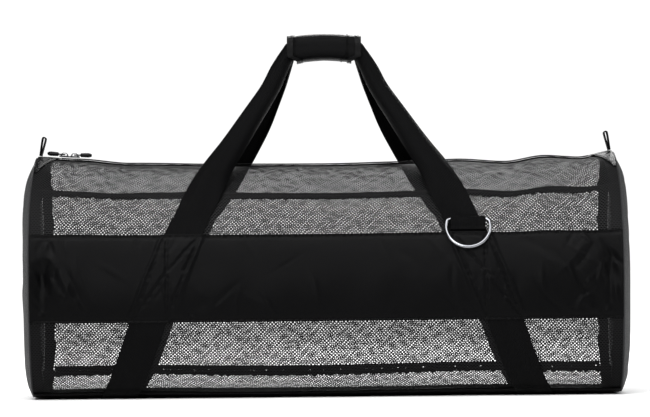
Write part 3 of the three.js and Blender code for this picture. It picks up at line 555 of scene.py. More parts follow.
# The straps' middle line: reach round the wall, place along as a share of HALF_SEAM.
STRAP_LINE = np.array(
    [
        (LEAVE, 0.453),
        (BAND_START, 0.481),
        (BAND_END, 0.602),
        (BASE_EDGE, 0.703),
        (HALF_GIRTH, 0.745),
    ]
)
# A free leg: share of its rise, share of the way out to its foot, and cup in degrees.
LEG_FRONT = [
    (0.146, 0.883, 32),
    (0.297, 0.762, 110),
    (0.455, 0.586, 155),
    (0.615, 0.406, 190),
    (0.774, 0.213, 220),
    (0.895, 0.103, 235),
]
LEG_BACK = [
    (0.146, 0.82, 26),
    (0.306, 0.635, 110),
    (0.463, 0.46, 155),
    (0.615, 0.3, 190),
    (0.783, 0.155, 220),
    (0.895, 0.075, 235),
]
GRIP_CUP = 300
BEND_RADIUS = 0.016
BEND_END = WRAP_LENGTH / 2 - 0.017
BEND_TURNS = np.radians([60, 40, 20, 0])
GRIP_CLEAR = 0.0012
LEG_SETTLED = 0.92
LEAST_CUP = 2
SEWN_STEP = 0.004
FREE_STEP = 0.006
ACROSS = 12
webbing_black = woven(
    "webbing_black", DEEP_BLACK, 0.46, 0.0021, 0.0005, 0.035, twill=0.0061
)


def strap_centre(reach):
    return HALF_SEAM * np.interp(reach, STRAP_LINE[:, 0], STRAP_LINE[:, 1])


def strap_half(reach):
    lean = (strap_centre(reach + 0.001) - strap_centre(reach - 0.001)) / 0.002
    return STRAP_HALF * np.hypot(1, np.minimum(lean, 0.5))


def under_strap(label, end):
    def place(u, v):
        across = (2 * v - 1) * (HALF_GIRTH - STRAP_JOIN - GAP / 2)
        reach = HALF_GIRTH - np.abs(across)
        share = 2 * u - 1
        over = ease(reach, BASE_EDGE - 2 * OVERLAP, BASE_EDGE - OVERLAP / 2)
        lift = SEAM_GAP + WEBBING + over * (CLOTH + SEAM_GAP)
        x = end * strap_centre(reach) + share * strap_half(reach)
        side = np.sign(across)
        return on_wall(side, x, reach, lift), np.stack([share * STRAP_HALF, across], -1)

    name = f"strap_under_{label}"
    sewn_cloth(
        f"carry_{name}", ACROSS, 180, place, WEBBING, webbing_black, [name]
    )


for label, end in ENDS:
    under_strap(label, end)


def unit(vectors):
    return vectors / np.linalg.norm(vectors, axis=-1, keepdims=True)


def wall_normal(side, x, reach, lift):
    """The way straight out of the wall at each place."""
    return unit(on_wall(side, x, reach, lift + 0.001) - on_wall(side, x, reach, lift))


def run_along(points):
    """How far each point lies along a line of points."""
    return np.append(0, np.cumsum(np.linalg.norm(np.diff(points, axis=0), axis=-1)))


def smooth_path(stations, step):
    """Points at about this step on a smooth curve through rows of numbers, place first."""
    rows = [2 * stations[0] - stations[1], *stations, 2 * stations[-1] - stations[-2]]
    made = []
    for before, a, b, after in zip(rows, rows[1:], rows[2:], rows[3:]):
        count = max(2, math.ceil(np.linalg.norm((b - a)[:3]) / step))
        for t in np.arange(count)[:, None] / count:
            made.append(
                a
                + 0.5 * t * (b - before)
                + t**2 * (before - 2.5 * a + 2 * b - 0.5 * after)
                + t**3 * (1.5 * (a - b) + 0.5 * (after - before))
            )
    return np.array([*made, stations[-1]])


def leg_rows(side, end, table):
    """Rows of points across one leg, from behind the band up to the middle of the grip."""
    shares = np.linspace(-1, 1, ACROSS + 1)
    on_bag = np.arange(STRAP_JOIN - GAP / 2, LEAVE, -SEWN_STEP)
    reach = np.append(on_bag, LEAVE)[:, None]
    x = end * (strap_centre(reach) + shares * strap_half(reach))
    low = on_wall(side, x, reach, SEAM_GAP + WEBBING)
    ends = on_wall(side, end * strap_centre(reach[-3:, 0]), reach[-3:, 0], SEAM_GAP + WEBBING / 2)
    leave, lean = ends[-1], unit(ends[-1] - ends[0])
    wall_out = wall_normal(side, 0, LEAVE, 0)
    fold = STRAP_HALF * 2 / math.radians(GRIP_CUP)
    grip_y = fold * (1 - math.cos(math.radians(GRIP_CUP / 2))) + GRIP_CLEAR
    bend = np.stack(
        [
            end * (BEND_END + BEND_RADIUS * np.sin(BEND_TURNS)),
            np.full(len(BEND_TURNS), side * grip_y),
            GRIP_HEIGHT - BEND_RADIUS * (1 - np.cos(BEND_TURNS)),
        ],
        -1,
    )
    stations = [np.array([*leave, LEAST_CUP, 0])]
    for rise, out, cup in table:
        settled = min(1, rise / LEG_SETTLED)
        place = (
            bend[0][0] + (leave[0] - bend[0][0]) * out,
            leave[1] + (bend[0][1] - leave[1]) * settled,
            leave[2] + (bend[0][2] - leave[2]) * rise,
        )
        stations.append(np.array([*place, cup, rise]))
    stations += [np.array([*place, GRIP_CUP, 1]) for place in bend]
    stations.append(np.array([0, side * grip_y, GRIP_HEIGHT, GRIP_CUP, 1]))
    path = smooth_path(stations, FREE_STEP)
    centre, rise = path[:, :3], path[:, 4:]
    cup = np.radians(np.clip(path[:, 3:4], LEAST_CUP, GRIP_CUP))
    tangent = np.gradient(centre, axis=0)
    tangent[0] = lean
    tangent[-1] = (-end, 0, 0)
    tangent = unit(tangent)
    turn = ease(rise, 0.5, 1)
    normal = wall_out * (1 - turn) + np.array([0, side, 0]) * turn
    normal = unit(normal - tangent * (normal * tangent).sum(-1, keepdims=True))
    across = unit(np.cross(normal, tangent)) * end * side
    radius = 2 * STRAP_HALF / cup
    angle = shares * cup / 2
    swing = (radius + WEBBING / 2)[..., None]
    free = (
        centre[:, None]
        + across[:, None] * swing * np.sin(angle)[..., None]
        + normal[:, None] * (swing * np.cos(angle)[..., None] - radius[..., None])
    )
    blend = ease(np.arange(len(free)), -1, 6)[:, None, None]
    flat = low[-1] + (centre - leave)[:, None]
    free = flat * (1 - blend) + free * blend
    return np.concatenate([low, free[1:]])


def handle(label, side, table):
    left = leg_rows(side, -1, table)
    right = leg_rows(side, 1, table)[-2::-1]
    rows = np.concatenate([left, right])
    far = run_along(rows[:, ACROSS // 2])

    def place(u, v):
        i = np.rint(v * (len(rows) - 1)).astype(int)
        j = np.rint(u * ACROSS).astype(int)
        return rows[i, j], np.stack([(2 * u - 1) * STRAP_HALF, far[i]], -1)

    name, count = f"carry_{label}", len(rows) - 1
    nodes = [f"handle_{label}"]
    sewn_cloth(name, ACROSS, count, place, WEBBING, webbing_black, nodes)


handle("front", -1, LEG_FRONT)
handle("back", 1, LEG_BACK)

# Side bands: smooth coated nylon sewn over the straps along the whole of each side. The
# straps stand out under it, and rows of stitching go through both and box each strap in.
BAND_SHOULDER = 0.002
BAND_SLOPE = 0.007
UPRIGHT_SEAM = 0.2225
SEAM_SINK = 0.0019
SEAM_SPREAD = 0.002
PUCKER_SPREAD = 0.0045
PUCKER = 0.0004
SEAM_INSET = 0.0035
SEAM_END = 0.411
STRAP_SEAM = 0.92
BOX_REACH = 0.05
SEAM_FADE = 0.012
DEEPEST_FOLD = 0.002
BAND_BILLOW = 0.0006
STITCH = 0.0032
THREAD = 0.0006
# Creases: step of the seed, count, the two places along that they lie between, and depth.
# Those of the second table lie on both halves of the band.
BAND_CREASES = [(0, 46, -0.4, 0.4, 0.0011)]
HALF_CREASES = [(3, 18, 0.345, 0.41, 0.0024), (7, 16, 0.17, 0.27, 0.0011)]
band_black = woven("band_black", (0.0013, 0.0013, 0.0015), 0.29, 0.0007, 0.0001, 0.045)


def thread(name, shade, roughness, specular=0.5):
    """Twisted sewing thread."""
    made, tree, sockets = blank_material(name, (shade, shade, shade), roughness, specular)
    grain(tree, sockets, 2600.0, 2.0, 0.6, 0.0002)
    return made


thread_black = thread("thread_black", 0.0012, 0.5, 0.03)


def strap_edge(end, reach, share):
    return end * (strap_centre(reach) + share * strap_half(reach))


def band_seams():
    """Rows of stitching on a band, each a line of places (x, reach)."""
    top, bottom = BAND_START + SEAM_INSET, BAND_END - SEAM_INSET
    down = np.linspace(top, bottom, 9)
    rows = [[(-SEAM_END, reach), (SEAM_END, reach)] for reach in (top, bottom)]
    for end in (-1, 1):
        for share in (-STRAP_SEAM, STRAP_SEAM):
            rows.append([(strap_edge(end, reach, share), reach) for reach in down])
        rows.append([(end * UPRIGHT_SEAM, top), (end * UPRIGHT_SEAM, bottom)])
        crossing = [(top, -STRAP_SEAM), (top + BOX_REACH, 0.0), (bottom, STRAP_SEAM)]
        rows.append([(strap_edge(end, reach, share), reach) for reach, share in crossing])
    return [np.array(row) for row in rows]


def sink_along(x, reach, rows, spread):
    """From 0 to 1, how close each place is to a row of stitching."""
    near = np.zeros(x.shape)
    for row in rows:
        for (ax, ar), (bx, br) in zip(row, row[1:]):
            length = (bx - ax) ** 2 + (br - ar) ** 2
            t = np.clip(((x - ax) * (bx - ax) + (reach - ar) * (br - ar)) / length, 0, 1)
            far = (x - ax - t * (bx - ax)) ** 2 + (reach - ar - t * (br - ar)) ** 2
            near = np.maximum(near, np.exp(-far / spread**2))
    return near


def folds(x, reach, seed, count, low, high, depth):
    """Soft creases scattered between two places: each is a long shallow furrow or ridge."""
    draw = np.random.default_rng(seed)
    made = np.zeros(x.shape)
    for _ in range(count):
        cx, cr = draw.uniform(low[0], high[0]), draw.uniform(low[1], high[1])
        turn = draw.uniform(-1.1, 1.1) + math.pi / 2
        length, width = draw.uniform(0.012, 0.035), draw.uniform(0.003, 0.0065)
        along = (x - cx) * math.cos(turn) + (reach - cr) * math.sin(turn)
        across = (reach - cr) * math.cos(turn) - (x - cx) * math.sin(turn)
        across = across - along**2 * draw.uniform(-6, 6)
        size = draw.uniform(0.3, 1) * draw.choice([-1, 1])
        made += size * np.exp(-((along / length) ** 2) - (across / width) ** 2)
    return depth * made


def band_lift(side, x, reach):
    """How far the band's outer face stands off the net."""
    near = np.abs(x) - strap_centre(reach)
    half = strap_half(reach)
    over = 1 - ease(np.abs(near), half + BAND_SHOULDER, half + BAND_SLOPE)
    edge = ease(np.minimum(reach - BAND_START, BAND_END - reach), 0, SEAM_FADE)
    seed = 21 if side < 0 else 41
    creases = BAND_CREASES + [
        (step + k, count, *sorted((end * near_x, end * far_x)), depth)
        for k, end in enumerate((-1, 1))
        for step, count, near_x, far_x, depth in HALF_CREASES
    ]
    soft = np.zeros(x.shape)
    for step, count, low, high, depth in creases:
        soft += folds(x, reach, seed + step, count, (low, BAND_START), (high, BAND_END), depth)
    soft += BAND_BILLOW * wobble(x + 0.4 * reach, seed, 0.19, 0.11, 0.073)
    lift = SEAM_GAP + CLOTH + over * (SEAM_GAP + WEBBING) + np.maximum(soft, -DEEPEST_FOLD) * edge
    puckers = wobble(x + 0.6 * reach, seed + 1, 0.011, 0.0076)
    puckers = puckers + wobble(reach, seed + 2, 0.0093, 0.013)
    lift = lift + PUCKER * puckers * sink_along(x, reach, band_seams(), PUCKER_SPREAD)
    return lift - SEAM_SINK * sink_along(x, reach, band_seams(), SEAM_SPREAD)


def band_place(side):
    def place(u, v):
        x = (2 * u - 1) * HALF_SEAM
        reach = BAND_START + v * (BAND_END - BAND_START)
        return on_wall(side, x, reach, band_lift(side, x, reach)), np.stack([x, reach], -1)

    return place


def stitches(name, points, normals, length, thick, material):
    """Rows of thread: one small bead per stitch, laid along each line of points."""
    bm = bmesh.new()
    for here, there, normal in zip(points[:-1], points[1:], normals):
        along = Vector(there) - Vector(here)
        if along.length > 2 * length:
            continue
        out = Vector(normal)
        turn = Matrix((along.normalized(), out.cross(along).normalized(), out)).transposed()
        place = Matrix.Translation((Vector(here) + Vector(there)) / 2) @ turn.to_4x4()
        size = Matrix.Diagonal((length * 0.4, thick / 2, thick / 2, 1))
        bmesh.ops.create_icosphere(bm, subdivisions=1, radius=1, matrix=place @ size)
    finish_piece(finished_mesh(bm, name), name, material, [])


def along_row(row, step):
    """Places at a step along a row of stitching."""
    far = run_along(row)
    at = np.arange(step / 2, far[-1], step)
    return np.stack([np.interp(at, far, row[:, 0]), np.interp(at, far, row[:, 1])], -1)


def wall_stitches(name, side, rows, lift):
    """Stitching on the wall: lift(side, x, reach) is the face that it lies in."""
    points, normals = [], []
    for row in rows:
        at = along_row(row, STITCH)
        high = lift(side, at[:, 0], at[:, 1])
        points.append(on_wall(side, at[:, 0], at[:, 1], high))
        normals.append(wall_normal(side, at[:, 0], at[:, 1], high))
    points, normals = np.concatenate(points), np.concatenate(normals)
    stitches(name, points, normals, STITCH, THREAD, thread_black)


for label, side in SIDES:
    sewn_cloth(
        f"band_{label}", 460, 70, band_place(side), CLOTH, band_black, [f"panel_{label}"]
    )
    wall_stitches(f"band_stitches_{label}", side, band_seams(), band_lift)

# End panels: stiff charcoal cloth closing each end, sewn round its rim. They bulge outward
# and keep upright creases from folding.
END_BULGE = 0.014
END_FOLDS = 34
FOLD_DEPTH = 0.0016
HIGHEST_FOLD = 0.001
END_BILLOW = 0.0011
# Upright creases: place and width as shares of the half depth, change of the bulge.
UPRIGHTS = [(-0.5, 0.14, -0.22), (0.12, 0.12, -0.3), (0.62, 0.12, -0.18)]
end_charcoal = woven(
    "end_charcoal", (0.021, 0.0214, 0.0226), 0.56, 0.0011, 0.0003, 0.16, sheen=0.03
)


def end_cloth(label, end):
    def place(u, v):
        reach = ZIP_EDGE + v * (FLAT_START - ZIP_EDGE)
        across = 2 * u - 1
        edge = on_wall(1, end * HALF_SEAM, reach, SEAM_GAP + CLOTH)
        up = np.clip(2 * edge[:, 2] / (SIDE_HEIGHT + TOP_RADIUS) - 1, -1, 1)
        crease = sum(out * np.exp(-(((across - at) / wide) ** 2)) for at, wide, out in UPRIGHTS)
        bulge = END_BULGE * (1 - up**8) * (1 - across**4) * (1 + crease)
        inner = (1 - up**6) * (1 - across**6)
        y, z = across * edge[:, 1], edge[:, 2]
        seed = 61 + end
        fold = folds(y, z, seed, END_FOLDS, (-0.15, 0.03), (0.15, 0.3), FOLD_DEPTH)
        fold += END_BILLOW * wobble(y + 0.06 * z, seed, 0.047, 0.031, 0.083)
        fold = np.minimum(fold, HIGHEST_FOLD) * inner
        x = edge[:, 0] + end * (GAP + CLOTH + bulge + fold)
        return np.stack([x, y, z], -1), np.stack([y, z], -1)

    nodes = [f"end_panel_{label}"]
    sewn_cloth(f"end_cloth_{label}", 120, 130, place, CLOTH, end_charcoal, nodes)


for label, end in ENDS:
    end_cloth(label, end)

# Zip: a black coil zip along the top, its tape sewn to the net on each side, with two metal
# sliders that meet near the left end and a moulded pull hinged on each.
ZIP_CHAIN = 0.006
CHAIN_LIFT = SEAM_GAP + NET + GAP
CHAIN_HEIGHT = 0.0024
PATCH_LENGTH = 0.034
TOOTH_STEP = 0.0016
TOOTH_REACH = 0.0013
TOOTH_SIZE = (0.00052, 0.0019, 0.001)
TAPE_RIPPLE = 0.0004
ZIP_SEAM = ZIP_EDGE - 0.003
ZIP_SEAM_END = 0.41


def zip_lift(side, x, reach):
    ripple = TAPE_RIPPLE * np.abs(wobble(x, 71, 0.031, 0.052)) * ease(reach, 0.006, 0.014)
    return SEAM_GAP + NET + ripple


def zip_place(u, v):
    x = (2 * u - 1) * (HALF_SEAM - GAP)
    across = (2 * v - 1) * ZIP_EDGE
    lift = zip_lift(1, x, np.abs(across))
    return on_wall(np.sign(across), x, np.abs(across), lift), np.stack([x, across], -1)


def chain_place(u, v):
    x = (2 * u - 1) * (HALF_SEAM - PATCH_LENGTH - GAP)
    across = (2 * v - 1) * ZIP_CHAIN / 2
    lift = CHAIN_LIFT + CHAIN_HEIGHT * 0.45
    return on_wall(np.sign(across), x, np.abs(across), lift), np.stack([x, across], -1)


sewn_cloth("zip_cloth", 260, 14, zip_place, NET, tape_black, ["zip_tape"])
sewn_cloth(
    "zip_coil", 260, 2, chain_place, CHAIN_HEIGHT * 0.4, tape_black, ["zip_chain"]
)
coil_black, tree, coil_sockets = blank_material("coil_black", (0.003, 0.003, 0.0034), 0.4, 0.1)
uneven_gloss(tree, coil_sockets, noise(tree, 60.0, 3.0), 0.3, 0.48)
teeth = bmesh.new()
reach_out = HALF_SEAM - PATCH_LENGTH - 2 * GAP
for side in (-1, 1):
    places = np.arange(-reach_out, reach_out, TOOTH_STEP) + (side + 1) * TOOTH_STEP / 4
    for point in on_wall(side, places, TOOTH_REACH, CHAIN_LIFT + CHAIN_HEIGHT * 0.5):
        place = Matrix.Translation(point) @ Matrix.Diagonal((*TOOTH_SIZE, 1))
        bmesh.ops.create_icosphere(teeth, subdivisions=1, radius=1, matrix=place)
finish_piece(finished_mesh(teeth, "zip_teeth"), "zip_teeth", coil_black, [])
for label, side in SIDES:
    rows = [np.array([(-ZIP_SEAM_END, ZIP_SEAM), (ZIP_SEAM_END, ZIP_SEAM)])]
    wall_stitches(f"zip_stitches_{label}", side, rows, zip_lift)


def polished(name, colour, roughness):
    """Plated metal with fine scratches and a little uneven polish."""
    made, tree, sockets = blank_material(name, colour, roughness)
    sockets["Metallic"].default_value = 1
    uneven_gloss(tree, sockets, noise(tree, 55.0, 3.0), roughness * 0.6, roughness * 1.7)
    grain(tree, sockets, 420.0, 4.0, 0.08, 0.0001)
    return made


slider_steel = polished("slider_steel", (0.04, 0.04, 0.043), 0.3)
pull_black, tree, pull_sockets = blank_material("pull_black", (0.0035, 0.0035, 0.004), 0.45, 0.12)
grain(tree, pull_sockets, 1500.0, 2.0, 0.25, 0.0002)
for label, _ in ENDS:
    for part, material in (("slider", slider_steel), ("pull", pull_black)):
        held = frame["nodes"][f"zip_{part}_{label}"]
        held.data.materials.clear()
        held.data.materials.append(material)
        weld = held.modifiers.new("weld", "WELD")
        weld.merge_threshold = 0.00001
        bevelled(held, 0.0004, 35)

# Pull grips: soft black plastic moulded over the outer part of each pull, with cross ribs
# for the fingers. Each is drawn out from ring to ring along its pull and turns with it. A
# row is one such ring: distance from the hinge, half width and half thickness.
GRIP_STATIONS = [
    (0.0078, 0.0026, 0.0014),
    (0.0088, 0.0044, 0.0026),
    (0.0104, 0.0053, 0.0033),
    (0.0118, 0.0046, 0.0027),
    (0.0131, 0.0055, 0.0035),
    (0.0144, 0.0047, 0.0028),
    (0.0157, 0.0056, 0.0036),
    (0.0170, 0.0048, 0.0029),
    (0.0184, 0.0056, 0.0035),
    (0.0214, 0.0052, 0.0031),
    (0.0238, 0.0042, 0.0024),
    (0.0247, 0.0024, 0.0012),
]


def rounded(piece):
    """Rounds a piece by one level of subdivision."""
    rounder = piece.modifiers.new("rounder", "SUBSURF")
    rounder.levels = 1
    rounder.render_levels = 1


def hinge_at(name):
    """Where a joint's axis lies."""
    return Vector(next(joint["pos_m"] for joint in frame["joints"] if joint["name"] == name))


for label, end in ENDS:
    hinge = hinge_at(f"pull_{label}_hinge")
    low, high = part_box(f"zip_pull_{label}")
    tip = (low if end < 0 else high)[0]
    slope = math.atan2(2 * ((low[2] + high[2]) / 2 - hinge.z), abs(tip - hinge.x))
    at, wide, thick = GRIP_STATIONS[0]
    bm = bmesh.new()
    bmesh.ops.create_circle(bm, segments=16, radius=1)
    bmesh.ops.rotate(bm, verts=bm.verts, matrix=Matrix.Rotation(math.pi / 2, 3, "Y"))
    bmesh.ops.scale(bm, verts=bm.verts, vec=(1, wide, thick))
    bmesh.ops.translate(bm, verts=bm.verts, vec=(at, 0, 0))
    first_ring = last_ring = bm.edges[:]
    for station in GRIP_STATIONS[1:]:
        size = (1, station[1] / wide, station[2] / thick)
        made = bmesh.ops.extrude_edge_only(bm, edges=last_ring)["geom"]
        verts = [item for item in made if isinstance(item, bmesh.types.BMVert)]
        last_ring = [item for item in made if isinstance(item, bmesh.types.BMEdge)]
        bmesh.ops.scale(bm, verts=verts, vec=size)
        bmesh.ops.translate(bm, verts=verts, vec=(station[0] - at, 0, 0))
        at, wide, thick = station
    for ring in (first_ring, last_ring):
        bmesh.ops.edgeloop_fill(bm, edges=ring)
    bmesh.ops.rotate(bm, verts=bm.verts, matrix=Matrix.Rotation(-slope, 3, "Y"))
    if end < 0:
        bmesh.ops.rotate(bm, verts=bm.verts, matrix=Matrix.Rotation(math.pi, 3, "Z"))
    bmesh.ops.translate(bm, verts=bm.verts, vec=hinge)
    bmesh.ops.recalc_face_normals(bm, faces=bm.faces)
    grip = in_scene(f"pull_grip_{label}", finished_mesh(bm, f"pull_grip_{label}"))
    grip.data.shade_smooth()
    grip.data.materials.append(pull_black)
    rounded(grip)
    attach(grip, f"pull_{label}")

# End patches: a wedge of the band's nylon over each end of the zip, tapering down both
# sides, held by light zigzag stitching along its inner edge.
PATCH_DROP = 0.084
PATCH_TIP = 0.12
PATCH_FOLD = 0.0003
ZIGZAG_STEP = 0.0022
ZIGZAG_SWING = 0.0026
ZIGZAG_INSET = 0.0016
ZIGZAG_STITCH = 0.0042
ZIGZAG_THREAD = 0.0008
thread_grey = thread("thread_grey", 0.11, 0.55)


def patch_lift(reach):
    over = 1 - ease(reach, ZIP_EDGE, ZIP_EDGE + OVERLAP)
    return SEAM_GAP + NET + over * (NET + SEAM_GAP)


def patch_length(reach):
    return PATCH_LENGTH * (1 - (1 - PATCH_TIP) * reach / PATCH_DROP)


for label, end in ENDS:

    def place(u, v):
        turn = (2 * v - 1) * PATCH_DROP
        reach = np.abs(turn)
        x = end * (HALF_SEAM - (1 - u) * patch_length(reach))
        lift = patch_lift(reach) + PATCH_FOLD * np.abs(wobble(turn, 81 + end, 0.02, 0.031))
        return on_wall(np.sign(turn), x, reach, lift), np.stack([x, turn], -1)

    patch = f"end_patch_{label}"
    sewn_cloth(f"zip_{patch}", 12, 60, place, NET, band_black, [patch])
    for part, side in SIDES:
        reach = np.arange(0.018, PATCH_DROP - 0.012, ZIGZAG_STEP)
        swing = ZIGZAG_SWING * (np.arange(len(reach)) % 2) + ZIGZAG_INSET
        x = end * (HALF_SEAM - patch_length(reach) + swing)
        high = patch_lift(reach) + PATCH_FOLD
        points, normals = on_wall(side, x, reach, high), wall_normal(side, x, reach, high)
        name = f"zigzag_{label}_{part}"
        stitches(name, points, normals, ZIGZAG_STITCH, ZIGZAG_THREAD, thread_grey)

# End loops: a short length of tape folded double and caught in the top of each end seam.
# The two layers stand up together and part at the top in a small eye.
LOOP_HEIGHT = 0.028
LOOP_WIDTH = 0.025
LOOP_OPEN = 0.0028
LOOP_LEAN = math.radians(12)
LOOP_WAIST = 0.0021
TAPE_STEP = 0.0008


def folded_tape(name, outline, axes, origin, width, thick, material, nodes):
    """Tape along an outline of (y, z) places in axes of its own, wide along x."""
    path = smooth_path([np.array([0, *point]) for point in outline], TAPE_STEP)
    far = run_along(path)

    def place(u, v):
        i = np.rint(v * (len(path) - 1)).astype(int)
        side = (2 * u - 1) * width / 2
        local = np.stack([side, path[i, 1], path[i, 2]], -1)
        return origin + local @ np.array(axes), np.stack([side, far[i]], -1)

    sewn_cloth(name, 12, len(path) - 1, place, thick, material, nodes)


half = LOOP_OPEN / 2 + CLOTH
top = LOOP_HEIGHT - half
leg = [(CLOTH, 0), (LOOP_WAIST, top * 0.3), (half * 0.93, top * 0.72), (half, top * 0.9)]
outline = [(-y, z) for y, z in leg]
outline += [(half * math.sin(a), top + half * math.cos(a)) for a in np.linspace(-1.3, 1.3, 7)]
outline += leg[::-1]
for label, end in ENDS:
    foot_x = end * (HALF_SEAM - CLOTH * np.arange(4, -1, -1))
    feet = on_wall(1, foot_x, 0, SEAM_GAP + NET + SEAM_GAP + NET + GAP)
    origin = np.array([feet[2, 0], 0, feet[:, 2].max() + CLOTH * math.sin(LOOP_LEAN)])
    lean_x = (math.cos(LOOP_LEAN), 0, end * math.sin(LOOP_LEAN))
    lean_z = (-end * math.sin(LOOP_LEAN), 0, math.cos(LOOP_LEAN))
    axes, nodes = ((0, 1, 0), lean_x, lean_z), [f"end_loop_{label}"]
    name, thick = f"tape_loop_{label}", CLOTH * 0.95
    folded_tape(name, outline, axes, origin, LOOP_WIDTH, thick, tape_black, nodes)

# Grip wrap: a foam pad covered in nylon, wrapped round both straps and closed over them. Its
# two ends are bound in tape, and rows of stitching quilt it near the ends and the top.
WRAP_HEIGHT = 0.038
WRAP_DEPTH = 0.048
WRAP_DROP = 0.002
WRAP_ARCH = 0.004
WRAP_MOUTH = 0.014
WRAP_SQUARE = 0.62
WRAP_ROUND = 0.022
WRAP_ROWS = (-0.0415, 0.0325)
SECOND_ROWS = (-0.0432, 0.0342)
TOP_ROW_DROP = 0.008
ROW_DEPTH = 0.0007
WRAP_BINDING = 0.009
BINDING_THICK = 0.0012
BINDING_PROUD = 0.0009
PUFF = 0.0022
PUFF_FRAMES = 20
wrap_black = woven("wrap_black", DEEP_BLACK, 0.38, 0.0009, 0.0002, 0.05)
binding_black = woven("binding_black", (0.002, 0.002, 0.0022), 0.34, 0.0012, 0.0002, 0.09)


def boxed(value):
    return np.sign(value) * np.abs(value) ** WRAP_SQUARE


def as_shown(made):
    """An object as its modifiers leave it."""
    return made.evaluated_get(bpy.context.evaluated_depsgraph_get())


def wrap_point(share, angle, inset):
    """A place on the wrap: share -1 to 1 along it, angle round it from the back, inset inward."""
    half = WRAP_LENGTH / 2 - WRAP_MOUTH * ease(-np.sin(angle), 0.3, 0.7)
    droop = WRAP_DROP + WRAP_ARCH * share**2
    y = (WRAP_DEPTH / 2 - inset) * boxed(np.cos(angle))
    z = GRIP_HEIGHT - droop + (WRAP_HEIGHT / 2 - inset) * boxed(np.sin(angle))
    return np.stack(np.broadcast_arrays(share * half, y, z), -1)


pad_bm = bmesh.new()
pad_bm.from_mesh(frame["nodes"]["grip_wrap"].data)
bmesh.ops.remove_doubles(pad_bm, verts=pad_bm.verts, dist=0.00001)
pad = in_scene("grip_pad", finished_mesh(pad_bm, "grip_pad"))
soften = pad.modifiers.new("soften", "REMESH")
soften.mode = "VOXEL"
soften.voxel_size = 0.0021
smooth = pad.modifiers.new("smooth", "SMOOTH")
smooth.factor = 0.5
smooth.iterations = 4
bpy.context.view_layer.update()
before = bpy.data.meshes.new_from_object(as_shown(pad))
pad.modifiers.clear()
pad.data = before
rest = places_of(before)
facing = np.array([v.normal for v in before.vertices])
middle = rest - (0, 0, GRIP_HEIGHT - WRAP_DROP)
inner = (facing * middle * (0, 1, 1)).sum(-1) < 0
end_near = 1 - ease(WRAP_LENGTH / 2 - np.abs(rest[:, 0]), 0.002, WRAP_BINDING)
row_near = sum(np.exp(-(((rest[:, 0] - at) / 0.0014) ** 2)) for at in WRAP_ROWS)
front_row = GRIP_HEIGHT + WRAP_HEIGHT / 2 - WRAP_DROP - TOP_ROW_DROP
row_near += np.exp(-(((rest[:, 2] - front_row) / 0.0013) ** 2)) * (np.abs(rest[:, 1]) > 0.015)
hold = np.clip(inner + end_near + row_near, 0, 1)
held = pad.vertex_groups.new(name="held")
for index, weight in enumerate(hold):
    if weight > 0.02:
        held.add([index], float(weight), "REPLACE")
cloth = pad.modifiers.new("puff", "CLOTH")
cloth.settings.quality = 5
cloth.settings.mass = 0.2
cloth.settings.use_pressure = True
cloth.settings.uniform_pressure_force = 4
cloth.settings.effector_weights.gravity = 0
cloth.settings.vertex_group_mass = "held"
cloth.point_cache.frame_start = 1
cloth.point_cache.frame_end = PUFF_FRAMES
for step in range(1, PUFF_FRAMES + 1):
    scene.frame_set(step)
puffed = as_shown(pad)
move = places_of(puffed.data) - rest
far = np.linalg.norm(move, axis=-1, keepdims=True)
rest = rest + move * np.minimum(1, PUFF / np.maximum(far, 1e-9))
pad.modifiers.clear()
pad.vertex_groups.clear()
scene.frame_set(1)
rest = rest - facing * ROW_DEPTH * np.clip(row_near, 0, 1)[:, None] * ~inner[:, None]
before.vertices.foreach_set("co", rest.ravel())
round_it = np.arctan2(rest[:, 2] - GRIP_HEIGHT, rest[:, 1]) * WRAP_ROUND
keep_cloth(before, np.stack([rest[:, 0], round_it], -1))
bpy.data.objects.remove(pad)
wrap = finish_piece(before, "grip_pad", wrap_black, ["grip_wrap"])
rounded(wrap)

for label, end in ENDS:

    def place(u, v):
        share = end * (1.0 - u * WRAP_BINDING / (WRAP_LENGTH / 2))
        angle = 2 * math.pi * v
        pull = 0.0003 * wobble(angle * 0.02, 91 + end, 0.009, 0.014)
        points = wrap_point(share, angle, -BINDING_PROUD - pull)
        return points, np.stack([u * WRAP_BINDING, angle * WRAP_ROUND], -1)

    name = f"wrap_binding_{label}"
    sewn_cloth(name, 5, 96, place, BINDING_THICK, binding_black, [])
turns = np.linspace(0, 2 * math.pi, 70)
shares = np.linspace(-0.8, 0.8, 28)
rows = [(at / (WRAP_LENGTH / 2), turns) for at in (*WRAP_ROWS, *SECOND_ROWS)]
rows += [(shares, angle) for angle in (math.pi - 0.42, 0.42)]
points = np.concatenate([wrap_point(share, angle, -PUFF * 0.35) for share, angle in rows])
normals = unit((points - (0, 0, GRIP_HEIGHT - WRAP_DROP)) * (0, 1, 1))
stitches("wrap_stitches", points, normals, 0.0034, 0.0007, thread_black)

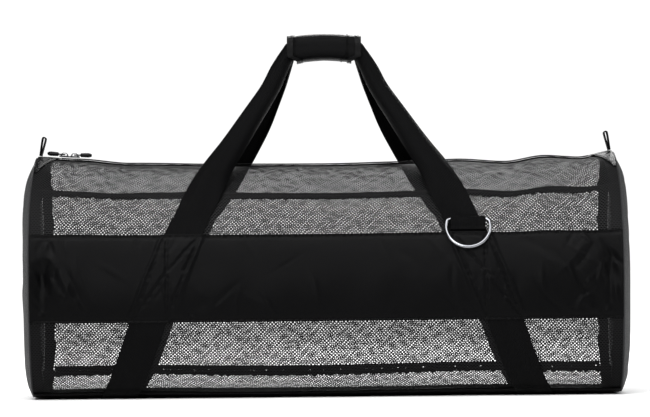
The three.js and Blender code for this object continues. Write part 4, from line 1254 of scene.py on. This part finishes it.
# Ring: a welded chrome ring with one straight side, held to the right front strap by a
# folded tab of the same webbing. It hangs on the band and turns in the tab.
RING_RADIUS = 0.0307
RING_WIRE = 0.0045
RING_BAR = 0.012
TAB_HEIGHT = 0.02
TAB_REACH = RING_WIRE / 2 + GAP + WEBBING
tab_foot = BAND_START - 0.0013
tab_middle = tab_foot - TAB_HEIGHT / 2
tab_x = strap_centre(tab_foot)
sag = (TAB_HEIGHT / 2) ** 2 / (2 * TOP_RADIUS) + GAP
tab_origin, tab_up, tab_down = on_wall(
    -1, tab_x, tab_middle + np.array([0, -0.005, 0.005]), SEAM_GAP + WEBBING + sag
)
tab_up = unit((tab_up - tab_down) * (0, 1, 1))
tab_out = np.cross((1, 0, 0), tab_up)
bar_height = TAB_HEIGHT / 2 - TAB_REACH
outline = [(-TAB_HEIGHT / 2, 2 * WEBBING + GAP), (-0.006, 0.0044), (-0.001, 0.0068)]
outline += [
    (bar_height + TAB_REACH * math.sin(a), TAB_REACH * (1 + math.cos(a)))
    for a in np.linspace(-0.35, math.pi, 8)
]
outline += [(-0.002, 0.0), (-TAB_HEIGHT / 2, 0.0)]
axes, wide, thick = ((1, 0, 0), tab_up, tab_out), 2 * STRAP_HALF, WEBBING * 0.97
folded_tape(
    "ring_holder", outline, axes, tab_origin, wide, thick, webbing_black, ["ring_tab"]
)

chrome = polished("chrome", (0.24, 0.245, 0.26), 0.15)
pivot = hinge_at("ring_hinge")
hang = Vector(places_of(frame["nodes"]["d_ring"].data).mean(0)) - pivot
hang.x = 0
hang.normalize()
bar_half = math.sqrt(RING_RADIUS**2 - RING_BAR**2)
start = math.acos(RING_BAR / RING_RADIUS)
spots = [(x, 0.0) for x in np.linspace(0.86, -0.86, 9) * bar_half]
spots += [
    (-RING_RADIUS * math.sin(a), RING_BAR - RING_RADIUS * math.cos(a))
    for a in np.linspace(start * 1.06, 2 * math.pi - start * 1.06, 72)
]
wire = bpy.data.curves.new("ring_wire", "CURVE")
wire.dimensions = "3D"
wire.bevel_depth = RING_WIRE / 2
wire.bevel_resolution = 5
line = wire.splines.new("POLY")
line.points.add(len(spots) - 1)
for point, (x, down) in zip(line.points, spots):
    point.co = (*(pivot + Vector((x, 0, 0)) + hang * down), 1)
line.use_cyclic_u = True
wire_object = in_scene("ring_wire", wire)
bpy.context.view_layer.update()
ring_mesh = bpy.data.meshes.new_from_object(as_shown(wire_object))
bpy.data.objects.remove(wire_object)
ring_mesh.materials.clear()
finish_piece(ring_mesh, "chrome_ring", chrome, ["d_ring"], "ring")
